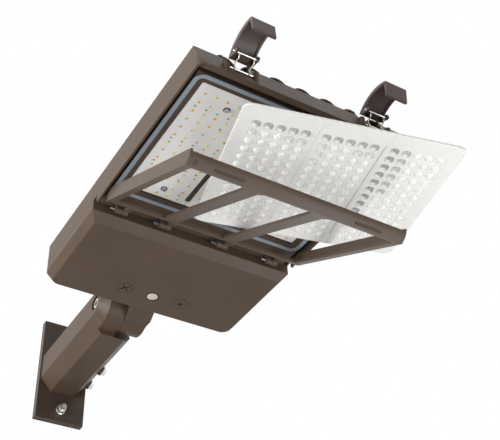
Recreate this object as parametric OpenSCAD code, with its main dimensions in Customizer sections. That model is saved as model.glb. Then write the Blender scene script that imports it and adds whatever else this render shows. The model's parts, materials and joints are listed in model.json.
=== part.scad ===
// Shoebox area light for a pole: tilting head, hinged lens door, hinged driver cover, slip-fitter arm.
// Millimetres. Origin: centre of the pole plate's back face. The arm and the head reach out along -Y.

/* [Head] */
// Width of the housing
housing_w = 330; // [300:5:360]
// Length of the housing from its rear wall to the front lip
housing_l = 500; // [480:5:540]
// Height of the housing above the seam with the driver cover
body_h = 32.5; // [30:0.5:40]
// Depth of the lip below the seam
lip_h = 12.5; // [11:0.5:14]
// Wall thickness of the castings
wall = 3; // [2.5:0.25:4]
// How far the top front edge stands behind the front lip
front_setback = 19; // [14:1:22]
// Radius of the housing's corners seen from below
corner_r = 12; // [8:1:16]
// Distance from the pole plate's back face to the housing's rear wall
head_reach = 338; // [330:1:360]
// Drop of the seam below the arm's axis
head_drop = 25; // [23:0.5:27]
// Depth of the front wall that carries the latches
front_wall = 10; // [9:0.5:11]

/* [Light compartment] */
// Gap between the compartment gasket and the housing's side
gasket_side = 10.5; // [9.5:0.5:13]
// Distance of the gasket from the front lip
gasket_front = 25; // [24:0.5:28]
// Distance of the gasket from the driver cover
gasket_back = 37; // [35:0.5:40]
// Width of the gasket's section
gasket_sec = 6; // [5:0.5:7]
// Height of the gasket's section
gasket_t = 1.6; // [1.2:0.2:2]
// Outer corner radius of the gasket
gasket_r = 14; // [10:1:18]
// Margin between the gasket and the light boards
board_edge = 9; // [8:0.5:12]
// Gap between two light boards
board_gap = 1; // [0.5:0.25:3]
// Thickness of a board
board_t = 1.6; // [1:0.2:2]
// Pitch of the light chips across a board
chip_pitch_x = 16.4; // [15:0.1:16.6]
// Pitch of the light chips along a board
chip_pitch_y = 16.86; // [16:0.02:17]
// Side of a chip
chip_side = 3.4; // [2.5:0.1:4]
// Height of a chip
chip_t = 0.7; // [0.4:0.1:1]

/* [Lens panel] */
// Distance of the lens panel from the housing's side when it is shut
lens_side = 15; // [13:0.5:17]
// Thickness of the lens panel
lens_t = 3; // [2:0.5:4]
// Corner radius of the lens panel
lens_r = 12; // [8:1:16]
// Radius of a lens bubble at its foot
bubble_r = 6.6; // [5:0.2:7]
// Height of a lens bubble
bubble_h = 3.4; // [2:0.2:4.5]
// Place of the drawn lens panel's middle across the head
lens_x = 71; // [60:1:80]
// How far the drawn lens panel stands out of the light compartment
lens_out = 68; // [65:1:78]
// Depth of the drawn lens panel's middle below the seam
lens_drop = 50.5; // [48:0.5:52]
// Turn of the drawn lens panel in its own plane
lens_yaw = 13.95; // [10:0.05:16]
// Pitch of the drawn lens panel
lens_tip = 4.3; // [3:0.1:6]
// Roll of the drawn lens panel
lens_roll = 0.86; // [0:0.02:2]

/* [Lens door] */
// Gap between the door frame and the housing's side
door_side = 6; // [5.5:0.5:9]
// Gap between the shut door and the front wall
door_gap = 0.7; // [0.5:0.1:2]
// Angle that the door stands open
door_open = 26.58; // [20:0.1:32]
// Distance from the rear wall to the door's hinge axis
door_axis_back = 191; // [189:0.5:193]
// Depth of the door's hinge axis below the seam
door_axis_drop = 12; // [11:0.25:12.5]
// Height of the door's side rims
rim_h = 19.9; // [17:0.1:20.4]
// Thickness of the door's side rims
rim_t = 3; // [2.5:0.25:4]
// Height of the door's free bar
free_h = 17; // [14:0.5:18]
// Width of the door's free bar
free_w = 12.5; // [10:0.5:13]
// Width of the door's side flanges
flange_w = 10; // [8:0.5:11]
// Thickness of the door's flanges and cross bars
flange_t = 4.6; // [3:0.1:4.7]
// Width of a cross bar
bar_w = 20; // [14:0.5:24]
// Place of the left cross bar
bar_left = -62.5; // [-70:0.5:-50]
// Place of the right cross bar
bar_right = 33.5; // [30:0.5:45]
// Radius of a hinge pin
pin_r = 2; // [1.5:0.1:2.5]

/* [Driver cover] */
// Length of the driver cover
cover_l = 182; // [178:0.5:184]
// Depth of the cover's skirt below the seam
skirt_h = 17; // [15:0.5:19]
// Depth of the cover's bottom below the seam
cover_h = 28.4; // [26:0.2:31]
// Inset of the cover's chamfers
cover_inset = 10; // [8:0.5:13]
// Wall thickness of the cover
cover_t = 2.5; // [2:0.25:3]
// Radius of a selector dial
dial_r = 12; // [10:0.5:14]
// Distance of the dials from the middle
dial_x = 48; // [42:1:54]
// Distance from the rear wall to the dials
dial_back = 44; // [38:1:50]
// Radius of the vent plug
plug_r = 9.5; // [8:0.5:11]
// Middle of a cover hinge barrel from the head's middle
barrel_x = 102; // [95:1:110]
// Length of a cover hinge barrel
barrel_l = 42; // [34:1:46]

/* [Latches] */
// Distance of the latches from the housing's sides
latch_in = 61; // [57:1:65]
// Width of a latch lever
lever_w = 34; // [30:1:36]
// Depth of a latch lever's section
lever_t = 6.5; // [5:0.5:7]
// Spacing of a bail's wires
wire_gap = 22; // [18:1:24]
// Radius of a bail's wire
wire_r = 1; // [0.8:0.1:1.5]

/* [Arm and plate] */
// Half width of the arm
arm_half = 43; // [40:0.5:45]
// Half height of the arm
arm_up = 45; // [43:0.5:46]
// Half width of the arm's flat facets
arm_facet = 21.5; // [18:0.5:24]
// Distance from the plate's back face to the knuckle's axis
knuckle_back = 248; // [240:1:255]
// Radius of the knuckle's barrel
knuckle_r = 37.4; // [34:0.2:40]
// Place of the knuckle's joint face across the arm
split_x = 3; // [0:0.5:6]
// Radius of the tenon
tenon_r = 30.15; // [24:0.15:31]
// Length of the tenon
tenon_l = 105; // [90:5:110]
// Width of the pole plate
plate_w = 91; // [88:1:95]
// Height of the pole plate
plate_h = 200; // [190:1:210]
// Thickness of the pole plate
plate_t = 13; // [10:0.5:14]
// Distance of the pole bolts from the plate's ends
bolt_edge = 22; // [18:1:28]
// Radius of the pole bolts' holes
bolt_hole_r = 6.5; // [5:0.5:7]

/* [Hidden] */
$fn = 48;
over = 1;
fit_gap = 0.05;
seat_gap = 0.3;
bronze = [0.38, 0.32, 0.28];
dark_bronze = [0.25, 0.21, 0.18];
steel = [0.75, 0.75, 0.74];
white = [0.93, 0.93, 0.92];

// Head: heights are counted from the seam, lengths from the rear wall
half_w = housing_w / 2;
land_drop = wall;
deck_top = 2 * wall;
front_in = housing_l - front_wall;
latch_x = half_w - latch_in;

// Light compartment: gasket, boards and chips
gasket_w = housing_w - 2 * gasket_side;
gasket_near = cover_l + gasket_back;
gasket_far = housing_l - gasket_front;
gasket_l = gasket_far - gasket_near;
light_mid = (gasket_near + gasket_far) / 2;
comp_front = gasket_far + wall / 3;
board_count = 3;
board_pitch = (gasket_w - 2 * gasket_sec - 2 * board_edge) / board_count;
board_w = board_pitch - board_gap;
board_l = gasket_l - 2 * gasket_sec - 2 * board_edge;
chip_edge = 10;
chip_cols = floor((board_w - 2 * chip_edge) / chip_pitch_x) + 1;
chip_rows = floor((board_l - 2 * chip_edge) / chip_pitch_y) + 1;
chip_shift = 5.6;
chip_shift_x = -0.8;
board_screw_x = 4.9;
screw_rows_share = 0.44;
board_screw_y = chip_pitch_y * (chip_rows - 1) * screw_rows_share;
slot_w = 8.5;
slot_rows_share = 0.98;
slot_l = chip_pitch_y * (chip_rows - 1) * slot_rows_share;
groove_in = gasket_w / 2 + wall / 6;
groove_out = half_w - wall;
groove_top = rim_h - lip_h + wall / 2;

// Lens panel and door
lens_w = housing_w - 2 * lens_side;
lens_l = gasket_l + wall / 3;
lens_fwd = light_mid + lens_out;
ridge_w = 3;
ridge_h = 1.5;
door_tail = 29.3;
door_half = half_w - door_side;
door_near = door_axis_back + door_tail;
door_l = front_in - door_gap - door_near;
roof_out = housing_l - front_setback;
lip_end = cover_l + 4 * wall;
recess_end = cover_l + wall;

// Hooded cooling ribs over the light compartment
rib_pitch = 39.5;
rib_r = 17;
rib_t = 2.5;
rib_rise = 7.3;
rib_z = body_h + rib_rise - rib_r;

// Latch pockets and pivots
pocket_half = lever_w / 2 + wall / 3;
pillar_r = 4.6;
pivot_in = 5.3;
pivot_front = housing_l - pivot_in;
pivot_z = 4;
wire_pin_r = 1.5;
eye_wall = 1.3;
eye_r = wire_pin_r + eye_wall;
pin_half = pocket_half + pillar_r;

// Door hinge stations, as shares of the housing's width
door_station_shares = [-0.39, -0.18, 0.11, 0.375];
ear_half = 5;
ear_r = 5;
knuckle_w = 8;
spring_r = 3.1;
spring_wire = 0.45;
spring_turns = 5;

// Driver cover and its hinge
cover_seal_t = 1;
barrel_r = 4;
barrel_drop = 13.5;
barrel_wall = 2;
cover_pin_r = barrel_r - barrel_wall;
ear_w = 7;
dial_t = 3;
dial_rim = 2.6;

// Screws and small pieces
screw_r = 1.9;
screw_head_r = 3.6;
screw_head_t = 2.4;
bushing_r = 8;
bushing_x = 9;
bushing_z = 19;
tongue_screw_x = 15;
tongue_screw_z = 9;
ear_hole_r = 2.5;

// Driver compartment pieces
surge_w = 34;
surge_d = 44;
surge_h = 24;
block_w = 32;
block_d = 52;
block_h = 16;
side_room = 13;
piece_gap = 4;
side_piece_x = half_w - wall - side_room - surge_w / 2;
driver_tab = 16;
driver_w = 2 * (side_piece_x - surge_w / 2 - piece_gap - driver_tab);
driver_d = 66;
driver_h = 32;
driver_back = 118;

// Knuckle and arm
cut_gap = 10.5;
cone_x = arm_half - (arm_half - arm_facet) * (knuckle_r - arm_facet) / (arm_up - arm_facet);
knuckle_bolt_r = 6;
bolt_head_r = 9;
bolt_head_t = 9;
recess_r = 12.5;
recess_t = 11;
neck_low = 8;
neck_left = 14;
neck_right = 30;
arm_bore_gap = 0.6;
tenon_wall = 5;
set_angle = 25;
set_back_shares = [0.14, 0.67];
set_r = 4;
set_head_r = 6.5;
set_head_t = 6;
set_boss_r = 9;
seal_t = 3;
bolt_off = plate_h / 2 - bolt_edge;
stud_r = 5;
thread_r = stud_r - 4 * fit_gap;
washer_r = 8.5;
washer_t = 1.6;
pole_nut_r = washer_r - seat_gap;
nut_r = 9.3;
nut_t = 8;
stud_out = 19;

// Dials and their switches
switch_lift = 4.2;
switch_w = 26;
switch_h = 12;
shaft_r = 3;
post_off = 11;
post_r = 1.5;
plug_back = 41.5;
barrel_mid = barrel_l - 2 * ear_w - 4 * seat_gap;

// Door springs
spring_room = 9;
spring_pitch = 1.5;

// Latch poses: the bail's and the right lever's turns as photographed
bail_l = 21;
bail_turn_left = 42;
bail_turn_right = 22;
lever_turn_right = 10.9;
cross_r = 1.6;
stub_l = 2.5;
cheek_t = 3;
cheek_r = 5;
cheek_in = 4;
cheek_turn = 12;

// Latch lever: an arc strap round its own middle, then a flat lip and a hook
lever_c = 26;
lever_out = 52;
lever_in = lever_out - lever_t;
lever_a0 = 34;
lever_a1 = 108;
lever_step = 6;
lip_l = 24;
lip_t = 4;
hook_l = 4;
hook_t = 2.4;

// Arm blend and bolts
blend_l = 16;
set_lip = 4;
set_out = arm_half / cos(set_angle) + set_lip;
stud_in = 14;

module at_head() {
    translate([0, -head_reach, -head_drop]) children();
}

// A rectangle with round corners, centred, in the plane
module round_rect(w, l, r) {
    square([w - 2 * r, l], center = true);
    square([w, l - 2 * r], center = true);
    for (i = [-1, 1], j = [-1, 1]) translate([i * (w / 2 - r), j * (l / 2 - r)]) circle(r = r);
}

// The head's outline seen from below, moved in by t
module head_outline(t) {
    translate([0, -housing_l / 2]) round_rect(housing_w - 2 * t, housing_l - 2 * t, corner_r - t);
}

// A block that is centred across the head, between two distances from the rear wall and two heights
module slab(x, y0, y1, z0, z1) {
    translate([-x, -y1, z0]) cube([2 * x, y1 - y0, z1 - z0]);
}

// A straight round bar along X
module xrod(x0, x1, r) {
    translate([x0, 0, 0]) rotate([0, 90, 0]) cylinder(h = x1 - x0, r = r);
}

// An outline in Y and Z carried along X
module xprism(x0, x1, points) {
    translate([x0, 0, 0]) rotate([90, 0, 90]) linear_extrude(height = x1 - x0) polygon(points);
}

// A pan-head screw whose head looks down
module down_screw(length) {
    translate([0, 0, -screw_head_t]) cylinder(h = screw_head_t, r = screw_head_r);
    cylinder(h = length, r = screw_r);
}

// Housing
module rib_arch() {
    rotate([90, 0, 0]) translate([0, 0, cover_l]) linear_extrude(height = roof_out - cover_l - wall / 2)
        difference() {
            union() {
                translate([0, rib_z]) circle(r = rib_r);
                translate([-rib_r, deck_top]) square([2 * rib_r, rib_z - deck_top]);
            }
            translate([0, rib_z]) circle(r = rib_r - rib_t);
            translate([-rib_r + rib_t, deck_top]) square([2 * (rib_r - rib_t), rib_z - deck_top]);
        }
}

module housing_shell() {
    intersection() {
        translate([0, 0, -lip_h]) linear_extrude(height = lip_h + body_h) head_outline(0);
        xprism(-half_w, half_w, [
            [0, 0],
            [0, body_h],
            [-roof_out, body_h],
            [-housing_l, -lip_h],
            [-lip_end, -lip_h],
            [-lip_end, 0]
        ]);
    }
}

module at_stations() {
    for (k = door_station_shares) translate([k * housing_w, -door_axis_back, -door_axis_drop]) children();
}

module door_ear() {
    translate([-ear_half, -ear_r, 0]) cube([2 * ear_half, 2 * ear_r, door_axis_drop - land_drop]);
    xrod(-ear_half, ear_half, ear_r);
}

module cover_ear() {
    translate([-ear_w / 2, 0, -barrel_drop]) rotate([0, 90, 0]) translate([0, barrel_r, 0])
        cylinder(h = ear_w, r = barrel_r);
    translate([-ear_w / 2, 0, -barrel_drop]) cube([ear_w, 2 * barrel_r, barrel_drop + body_h / 3]);
}

module latch_pockets() {
    for (s = [-1, 1]) translate([s * latch_x - pocket_half, -housing_l - over, 0]) {
        cube([2 * pocket_half, housing_l - front_in - wall / 2 + over, body_h + 2 * rib_rise]);
        translate([0, 0, groove_top + wall])
            cube([2 * pocket_half, front_setback + wall + over, body_h + 2 * rib_rise]);
    }
}

module latch_pillars() {
    for (s = [-1, 1], t = [-1, 1])
        translate([s * latch_x + t * (pocket_half + pillar_r - wall / 3), -pivot_front, -lip_h])
            cylinder(h = lip_h + pivot_z + pillar_r + wall, r = pillar_r);
}

module housing() {
    color(bronze) at_head() difference() {
        union() {
            difference() {
                housing_shell();
                intersection() {
                    slab(half_w - wall, wall, cover_l - wall, -over, body_h - wall);
                    translate([0, 0, -over]) linear_extrude(height = body_h) head_outline(wall);
                }
                slab(groove_out, cover_l, front_in, -lip_h - over, groove_top);
                slab(half_w - wall, cover_l, roof_out - wall, groove_top + wall, body_h + over);
            }
            slab(groove_in, cover_l - wall, comp_front, 0, deck_top);
            slab(groove_in, cover_l + wall / 3, comp_front, -land_drop, wall);
            slab(groove_in, cover_l - wall, comp_front, deck_top - over, groove_top + wall);
            for (i = [-3:3]) translate([i * rib_pitch, 0, 0]) rib_arch();
            latch_pillars();
            at_stations() door_ear();
            for (s = [-1, 1], t = [-1, 1])
                translate([s * barrel_x + t * (barrel_l - ear_w) / 2, 0, 0]) cover_ear();
        }
        slab(groove_in - wall, recess_end, comp_front - wall, deck_top, groove_top + wall + over);
        translate([0, -light_mid, -land_drop - over]) linear_extrude(height = land_drop + over + board_t)
            round_rect(board_count * board_pitch + wall, board_l + wall, wall);
        latch_pockets();
        for (s = [-1, 1]) translate([s * latch_x, -pivot_front, pivot_z])
            xrod(-pin_half - over, pin_half + over, wire_pin_r + fit_gap);
        at_stations() xrod(-ear_half - over, ear_half + over, pin_r);
        for (s = [-1, 1]) translate([s * barrel_x, barrel_r, -barrel_drop])
            xrod(-barrel_l / 2 - over, barrel_l / 2 + over, cover_pin_r);
        translate([bushing_x, over, bushing_z]) rotate([90, 0, 0])
            cylinder(h = wall + 2 * over, r = bushing_r);
        for (s = [-1, 1]) translate([bushing_x + s * tongue_screw_x, over, tongue_screw_z])
            rotate([90, 0, 0]) cylinder(h = wall + 2 * over, r = screw_r + fit_gap);
        for (s = [-1, 1], d = [lip_end + wall, housing_l - 2 * wall])
            translate([s * (half_w - 2 * wall), -d, -lip_h - over]) cylinder(h = 2 * over, r = ear_hole_r);
    }
}

// Knuckle half on the head, bolted to the rear wall
module knuckle_tongue() {
    color(bronze) difference() {
        union() {
            translate([0, -knuckle_back, 0]) xrod(split_x + seat_gap, arm_half, knuckle_r);
            translate([0, 0, -head_drop - neck_low]) linear_extrude(height = neck_low + body_h - wall)
                polygon([
                    [split_x + seat_gap, -knuckle_back],
                    [split_x + seat_gap, -knuckle_back - knuckle_r - wall],
                    [-neck_left + bushing_r, -head_reach],
                    [neck_right, -head_reach],
                    [arm_half, -knuckle_back - knuckle_r],
                    [arm_half, -knuckle_back]
                ]);
            translate([-neck_left, -head_reach, -head_drop - neck_low])
                cube([neck_left + neck_right + wall, 2 * wall, neck_low + body_h - wall]);
        }
        translate([0, -knuckle_back, 0]) xrod(-arm_half, arm_half + over, knuckle_bolt_r + fit_gap);
        translate([0, -knuckle_back, 0]) xrod(arm_half - recess_t, arm_half + over, recess_r);
        translate([bushing_x, -head_reach - over, bushing_z - head_drop]) rotate([-90, 0, 0])
            cylinder(h = knuckle_r + over, r = bushing_r);
        for (s = [-1, 1])
            translate([bushing_x + s * tongue_screw_x, -head_reach - over, tongue_screw_z - head_drop])
                rotate([-90, 0, 0]) cylinder(h = 2 * wall, r = screw_r + fit_gap);
    }
}

module tongue_screws() {
    color(steel) at_head() for (s = [-1, 1])
        translate([bushing_x + s * tongue_screw_x, -wall, tongue_screw_z])
            rotate([-90, 0, 0]) down_screw(2 * wall);
}

module wire_bushing() {
    color([0.08, 0.08, 0.08]) at_head() translate([bushing_x, -wall, bushing_z]) rotate([90, 0, 0])
        difference() {
            union() {
                translate([0, 0, -wall]) cylinder(h = wall, r = bushing_r - fit_gap);
                cylinder(h = wall / 2, r = bushing_r + wall / 2);
            }
            translate([0, 0, -wall - over]) cylinder(h = 2 * wall + over, r = bushing_r / 2);
        }
}

// The screws' places on a board, where its middle column has no chip
module at_board_screws(k) {
    for (s = [-1, 1])
        translate([k * board_pitch + board_screw_x, chip_shift - light_mid + s * board_screw_y, 0]) children();
}

// Light boards, one beside the other
module light_board(k) {
    color(white) at_head() difference() {
        translate([k * board_pitch - board_w / 2, -light_mid - board_l / 2, 0])
            cube([board_w, board_l, board_t]);
        at_board_screws(k) translate([0, 0, -over]) cylinder(h = board_t + 2 * over, r = screw_r + seat_gap);
        for (s = [-1, 1])
            translate([s * board_pitch / 2 - slot_w / 2, chip_shift - light_mid - slot_l / 2, -over])
                cube([slot_w, slot_l, board_t + 2 * over]);
    }
}

// A chip gives way to each screw: the middle column has none one row in from its ends
function has_chip(i, j) = abs(i - (chip_cols - 1) / 2) >= 1 || (j != 1 && j != chip_rows - 2);

module light_chips(k) {
    color([1, 0.75, 0.2]) at_head()
        for (i = [0:chip_cols - 1], j = [0:chip_rows - 1]) if (has_chip(i, j))
            translate([
                k * board_pitch + chip_shift_x + (i - (chip_cols - 1) / 2) * chip_pitch_x - chip_side / 2,
                chip_shift - light_mid + (j - (chip_rows - 1) / 2) * chip_pitch_y - chip_side / 2,
                -chip_t
            ]) cube([chip_side, chip_side, chip_t]);
}

module light_board_left() { light_board(-1); }
module light_board_middle() { light_board(0); }
module light_board_right() { light_board(1); }
module light_chips_left() { light_chips(-1); }
module light_chips_middle() { light_chips(0); }
module light_chips_right() { light_chips(1); }

module board_screws() {
    color(steel) at_head() for (k = [-1:1]) at_board_screws(k) down_screw(board_t);
}

module compartment_gasket() {
    color([0.52, 0.6, 0.68]) at_head() translate([0, -light_mid, -land_drop - gasket_t])
        linear_extrude(height = gasket_t) difference() {
            round_rect(gasket_w, gasket_l, gasket_r);
            round_rect(gasket_w - 2 * gasket_sec, gasket_l - 2 * gasket_sec, gasket_r - gasket_sec);
        }
}

// Driver compartment
module led_driver() {
    color([0.8, 0.8, 0.8]) at_head() difference() {
        union() {
            slab(driver_w / 2, driver_back - driver_d / 2, driver_back + driver_d / 2,
                body_h - wall - driver_h, body_h - wall);
            slab(driver_w / 2 + driver_tab, driver_back - driver_d / 4, driver_back + driver_d / 4,
                body_h - 2 * wall, body_h - wall);
        }
        for (s = [-1, 1])
            translate([s * (driver_w + driver_tab) / 2, -driver_back, body_h - 2 * wall - over])
                cylinder(h = wall + 2 * over, r = screw_r + fit_gap);
    }
}

module driver_screws() {
    color(steel) at_head() for (s = [-1, 1])
        translate([s * (driver_w + driver_tab) / 2, -driver_back, body_h - 2 * wall]) down_screw(wall);
}

module surge_protector() {
    color([0.15, 0.15, 0.17]) at_head()
        translate([side_piece_x - surge_w / 2, -driver_back - surge_d / 2, body_h - wall - surge_h])
            cube([surge_w, surge_d, surge_h]);
}

module terminal_block() {
    color([0.9, 0.88, 0.8]) at_head() translate([-side_piece_x, -driver_back, body_h - wall - block_h])
        difference() {
            translate([-block_w / 2, -block_d / 2, 0]) cube([block_w, block_d, block_h]);
            for (i = [-2:2], s = [-1, 1]) translate([s * block_w / 4, i * block_d / 6, -over])
                cylinder(h = block_h / 2, r = screw_r);
        }
}

module ground_screw() {
    color([0.3, 0.5, 0.3]) at_head() translate([-side_piece_x, -dial_back, body_h - 2 * wall]) {
        down_screw(wall);
        cylinder(h = wall, r = screw_head_r);
    }
}

// Driver cover, a pan with chamfered edges that is hinged on the rear wall
module cover_form(t) {
    intersection() {
        xprism(-half_w + t, half_w - t, [
            [-t - seat_gap, -cover_seal_t],
            [-t - seat_gap, -cover_h + t],
            [-cover_l + cover_inset + wall, -cover_h + t],
            [-cover_l + t, -skirt_h],
            [-cover_l + t, -cover_seal_t]
        ]);
        rotate([90, 0, 0]) linear_extrude(height = cover_l) polygon([
            [half_w - t, 0],
            [half_w - t, -skirt_h],
            [half_w - cover_inset, -cover_h + t],
            [-half_w + cover_inset, -cover_h + t],
            [-half_w + t, -skirt_h],
            [-half_w + t, 0]
        ]);
        translate([0, 0, -cover_h - over]) linear_extrude(height = cover_h + 2 * over) head_outline(t);
    }
}

module switch_posts() {
    for (s = [-1, 1], i = [-1, 1], j = [-1, 1])
        translate([s * dial_x + i * post_off, j * post_off - dial_back, -cover_h + cover_t / 2])
            cylinder(h = cover_t / 2 + switch_lift, r = post_r);
}

module driver_cover() {
    color(bronze) at_head() difference() {
        union() {
            difference() {
                cover_form(0);
                translate([0, 0, over]) cover_form(cover_t);
                cover_form(cover_t);
            }
            switch_posts();
            for (s = [-1, 1]) translate([s * barrel_x, barrel_r, -barrel_drop]) {
                xrod(-barrel_mid / 2, barrel_mid / 2, barrel_r);
                translate([-barrel_mid / 2, -barrel_r - cover_t, -barrel_r])
                    cube([barrel_mid, barrel_r + cover_t, barrel_r]);
            }
        }
        for (s = [-1, 1]) translate([s * dial_x, -dial_back, -cover_h - over]) {
            cylinder(h = cover_t + 2 * over, r = dial_r + fit_gap);
            cylinder(h = over + cover_t / 2, r = dial_r + dial_rim);
        }
        translate([0, -plug_back, -cover_h - over]) {
            cylinder(h = cover_t + 2 * over, r = plug_r - wall / 2);
            cylinder(h = over + cover_t / 2, r = plug_r + dial_rim / 2);
        }
        for (s = [-1, 1]) translate([s * barrel_x, barrel_r, -barrel_drop])
            xrod(-barrel_l, barrel_l, cover_pin_r + fit_gap);
    }
}

module cover_gasket() {
    color([0.1, 0.1, 0.1]) at_head() difference() {
        intersection() {
            slab(half_w, seat_gap, cover_l, -cover_seal_t, 0);
            translate([0, 0, -cover_seal_t]) linear_extrude(height = cover_seal_t) head_outline(0);
        }
        intersection() {
            slab(half_w - cover_t, cover_t, cover_l - cover_t, -cover_seal_t - over, over);
            translate([0, 0, -cover_seal_t - over]) linear_extrude(height = cover_seal_t + 2 * over)
                head_outline(cover_t);
        }
    }
}

module dial_seals() {
    color([0.45, 0.5, 0.55]) at_head() for (s = [-1, 1]) translate([s * dial_x, -dial_back, -cover_h])
        difference() {
            cylinder(h = cover_t / 2, r = dial_r + dial_rim - fit_gap);
            translate([0, 0, -over]) cylinder(h = cover_t + over, r = dial_r + seat_gap);
        }
}

module dial_switches() {
    color([0.12, 0.12, 0.13]) at_head() for (s = [-1, 1])
        translate([s * dial_x, -dial_back, -cover_h + cover_t + switch_lift]) difference() {
            translate([-switch_w / 2, -switch_w / 2, 0]) cube([switch_w, switch_w, switch_h]);
            translate([0, 0, -over]) cylinder(h = switch_h / 2 + over, r = shaft_r + fit_gap);
        }
}

// Selector dial with a cross slot
module selector_dial(s, slot_l, slot_w) {
    color(bronze) at_head() translate([s * dial_x, -dial_back, -cover_h]) difference() {
        union() {
            cylinder(h = cover_t + seat_gap, r = dial_r);
            translate([0, 0, cover_t + seat_gap]) cylinder(h = dial_t / 2, r = dial_r + over);
            cylinder(h = cover_t + switch_lift + switch_h / 2 - seat_gap, r = shaft_r);
        }
        rotate([0, 0, 45]) {
            translate([-slot_l / 2, -slot_w / 2, -over]) cube([slot_l, slot_w, over + dial_t / 2]);
            translate([-slot_w / 2, -slot_l / 2, -over]) cube([slot_w, slot_l, over + dial_t / 2]);
        }
    }
}

module selector_dial_left() { selector_dial(-1, dial_r * 1.5, dial_r / 4); }
module selector_dial_right() { selector_dial(1, dial_r, dial_r / 4); }

module vent_ring() {
    color([0.05, 0.05, 0.05]) at_head() translate([0, -plug_back, -cover_h]) difference() {
        cylinder(h = cover_t / 2, r = plug_r + dial_rim / 2 - fit_gap);
        translate([0, 0, -over]) cylinder(h = cover_t + over, r = plug_r);
    }
}

module vent_plug() {
    color([0.8, 0.77, 0.68]) at_head() translate([0, -plug_back, -cover_h]) {
        cylinder(h = cover_t / 2, r = plug_r - fit_gap);
        cylinder(h = 2 * cover_t, r = plug_r - wall / 2 - fit_gap);
    }
}

module cover_hinge_pins() {
    color(steel) at_head() for (s = [-1, 1]) translate([s * barrel_x, barrel_r, -barrel_drop])
        xrod(-barrel_l / 2, barrel_l / 2, cover_pin_r);
}

// Lens door, drawn closed and then swung open
module swing_door() {
    translate([0, -door_axis_back, -door_axis_drop]) rotate([door_open, 0, 0])
        translate([0, door_axis_back, door_axis_drop]) children();
}

module door_bar(x) {
    translate([x - bar_w / 2, -door_near - door_l + free_w / 2, -lip_h])
        cube([bar_w, door_l - free_w, flange_t]);
}

module door_knuckle() {
    translate([ear_half + seat_gap, 0, 0]) {
        xrod(0, knuckle_w, ear_r);
        translate([0, -door_tail - flange_w / 2, door_axis_drop - lip_h])
            cube([knuckle_w, door_tail + flange_w / 2, flange_t]);
    }
}

module door_frame() {
    far = door_near + door_l;
    color(bronze) at_head() swing_door() difference() {
        union() {
            for (s = [-1, 1]) {
                translate([s * (door_half - flange_w / 2) - flange_w / 2, -far, -lip_h])
                    cube([flange_w, door_l, flange_t]);
                translate([s * (door_half - rim_t / 2) - rim_t / 2, -far, -lip_h])
                    cube([rim_t, door_l, rim_h]);
            }
            slab(door_half, far - free_w, far, -lip_h, -lip_h + free_h);
            slab(door_half, door_near, door_near + flange_w, -lip_h, -lip_h + flange_t);
            door_bar(bar_left);
            door_bar(bar_right);
            at_stations() door_knuckle();
        }
        at_stations() xrod(0, 2 * ear_half + knuckle_w, pin_r + fit_gap);
    }
}

module door_hinge_pins() {
    color(steel) at_head() at_stations()
        xrod(-ear_half - spring_room, ear_half + seat_gap + knuckle_w, pin_r);
}

// Point on the springs' wire: a helix along X round the pin
function coil_at(a, q) = [
    spring_pitch * a / 360 + spring_wire * sin(q),
    (spring_r + spring_wire * cos(q)) * cos(a),
    (spring_r + spring_wire * cos(q)) * sin(a)
];

module coil() {
    steps = spring_turns * 12;
    points = [for (i = [0:steps], j = [0:5]) coil_at(i * 30, j * 60)];
    sides = [for (i = [0:steps - 1], j = [0:5]) each [
        [6 * i + j, 6 * i + (j + 1) % 6, 6 * i + 6 + (j + 1) % 6],
        [6 * i + j, 6 * i + 6 + (j + 1) % 6, 6 * i + 6 + j]
    ]];
    ends = [for (j = [1:4]) each [[0, j + 1, j], [6 * steps, 6 * steps + j, 6 * steps + j + 1]]];
    polyhedron(points = points, faces = concat(sides, ends));
}

module door_springs() {
    echo(coil_least_gap = spring_pitch - 2 * spring_wire);
    color(steel) at_head() for (n = [1, 2])
        translate([door_station_shares[n] * housing_w, -door_axis_back, -door_axis_drop])
            translate([seat_gap + spring_wire - ear_half - spring_room, 0, 0]) coil();
}

// Lens panel, shown drawn out over the open door
module lens_panel() {
    color([0.9, 0.9, 0.9, 0.5]) at_head() translate([lens_x, -lens_fwd, -lens_drop])
        rotate([lens_tip, lens_roll, -lens_yaw]) {
            translate([0, 0, -lens_t / 2]) linear_extrude(height = lens_t)
                round_rect(lens_w, lens_l, lens_r);
            for (k = [-1:1], i = [0:chip_cols - 1], j = [0:chip_rows - 1])
                translate([
                    k * board_pitch + (i - (chip_cols - 1) / 2) * chip_pitch_x,
                    chip_shift + (j - (chip_rows - 1) / 2) * chip_pitch_y,
                    -lens_t / 2 - bubble_h
                ]) cylinder(h = bubble_h, r1 = bubble_r / 2, r2 = bubble_r, $fn = 24);
            for (s = [-1, 1])
                translate([s * board_pitch / 2 - ridge_w / 2, -lens_l / 2, -lens_t / 2 - ridge_h])
                    cube([ridge_w, lens_l, ridge_h]);
        }
}

// Draw latches: a wire bail and a curved lever with a lip
module bail_frame(turn) {
    at_head() translate([0, -pivot_front, pivot_z]) rotate([turn, 0, 0]) children();
}

module latch_bail(s, turn) {
    color(steel) bail_frame(turn) translate([s * latch_x, 0, 0]) difference() {
        union() {
            for (t = [-1, 1]) translate([t * wire_gap / 2, 0, 0]) {
                xrod(-wire_r, wire_r, eye_r);
                translate([0, 0, wire_pin_r]) cylinder(h = bail_l - wire_pin_r, r = wire_r);
            }
            translate([0, 0, bail_l]) xrod(-lever_w / 2 - stub_l, lever_w / 2 + stub_l, cross_r);
        }
        xrod(-lever_w, lever_w, wire_pin_r + fit_gap);
    }
}

// The lever's outline in Y and Z, from its pivot: an arc strap, a flat lip and a hook
function lever_arc(r, a) = [-lever_c + r * cos(a), -lever_c + r * sin(a)];
function lip_at(y, z) = lever_arc(lever_out, lever_a1) + [y, z];

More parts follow.
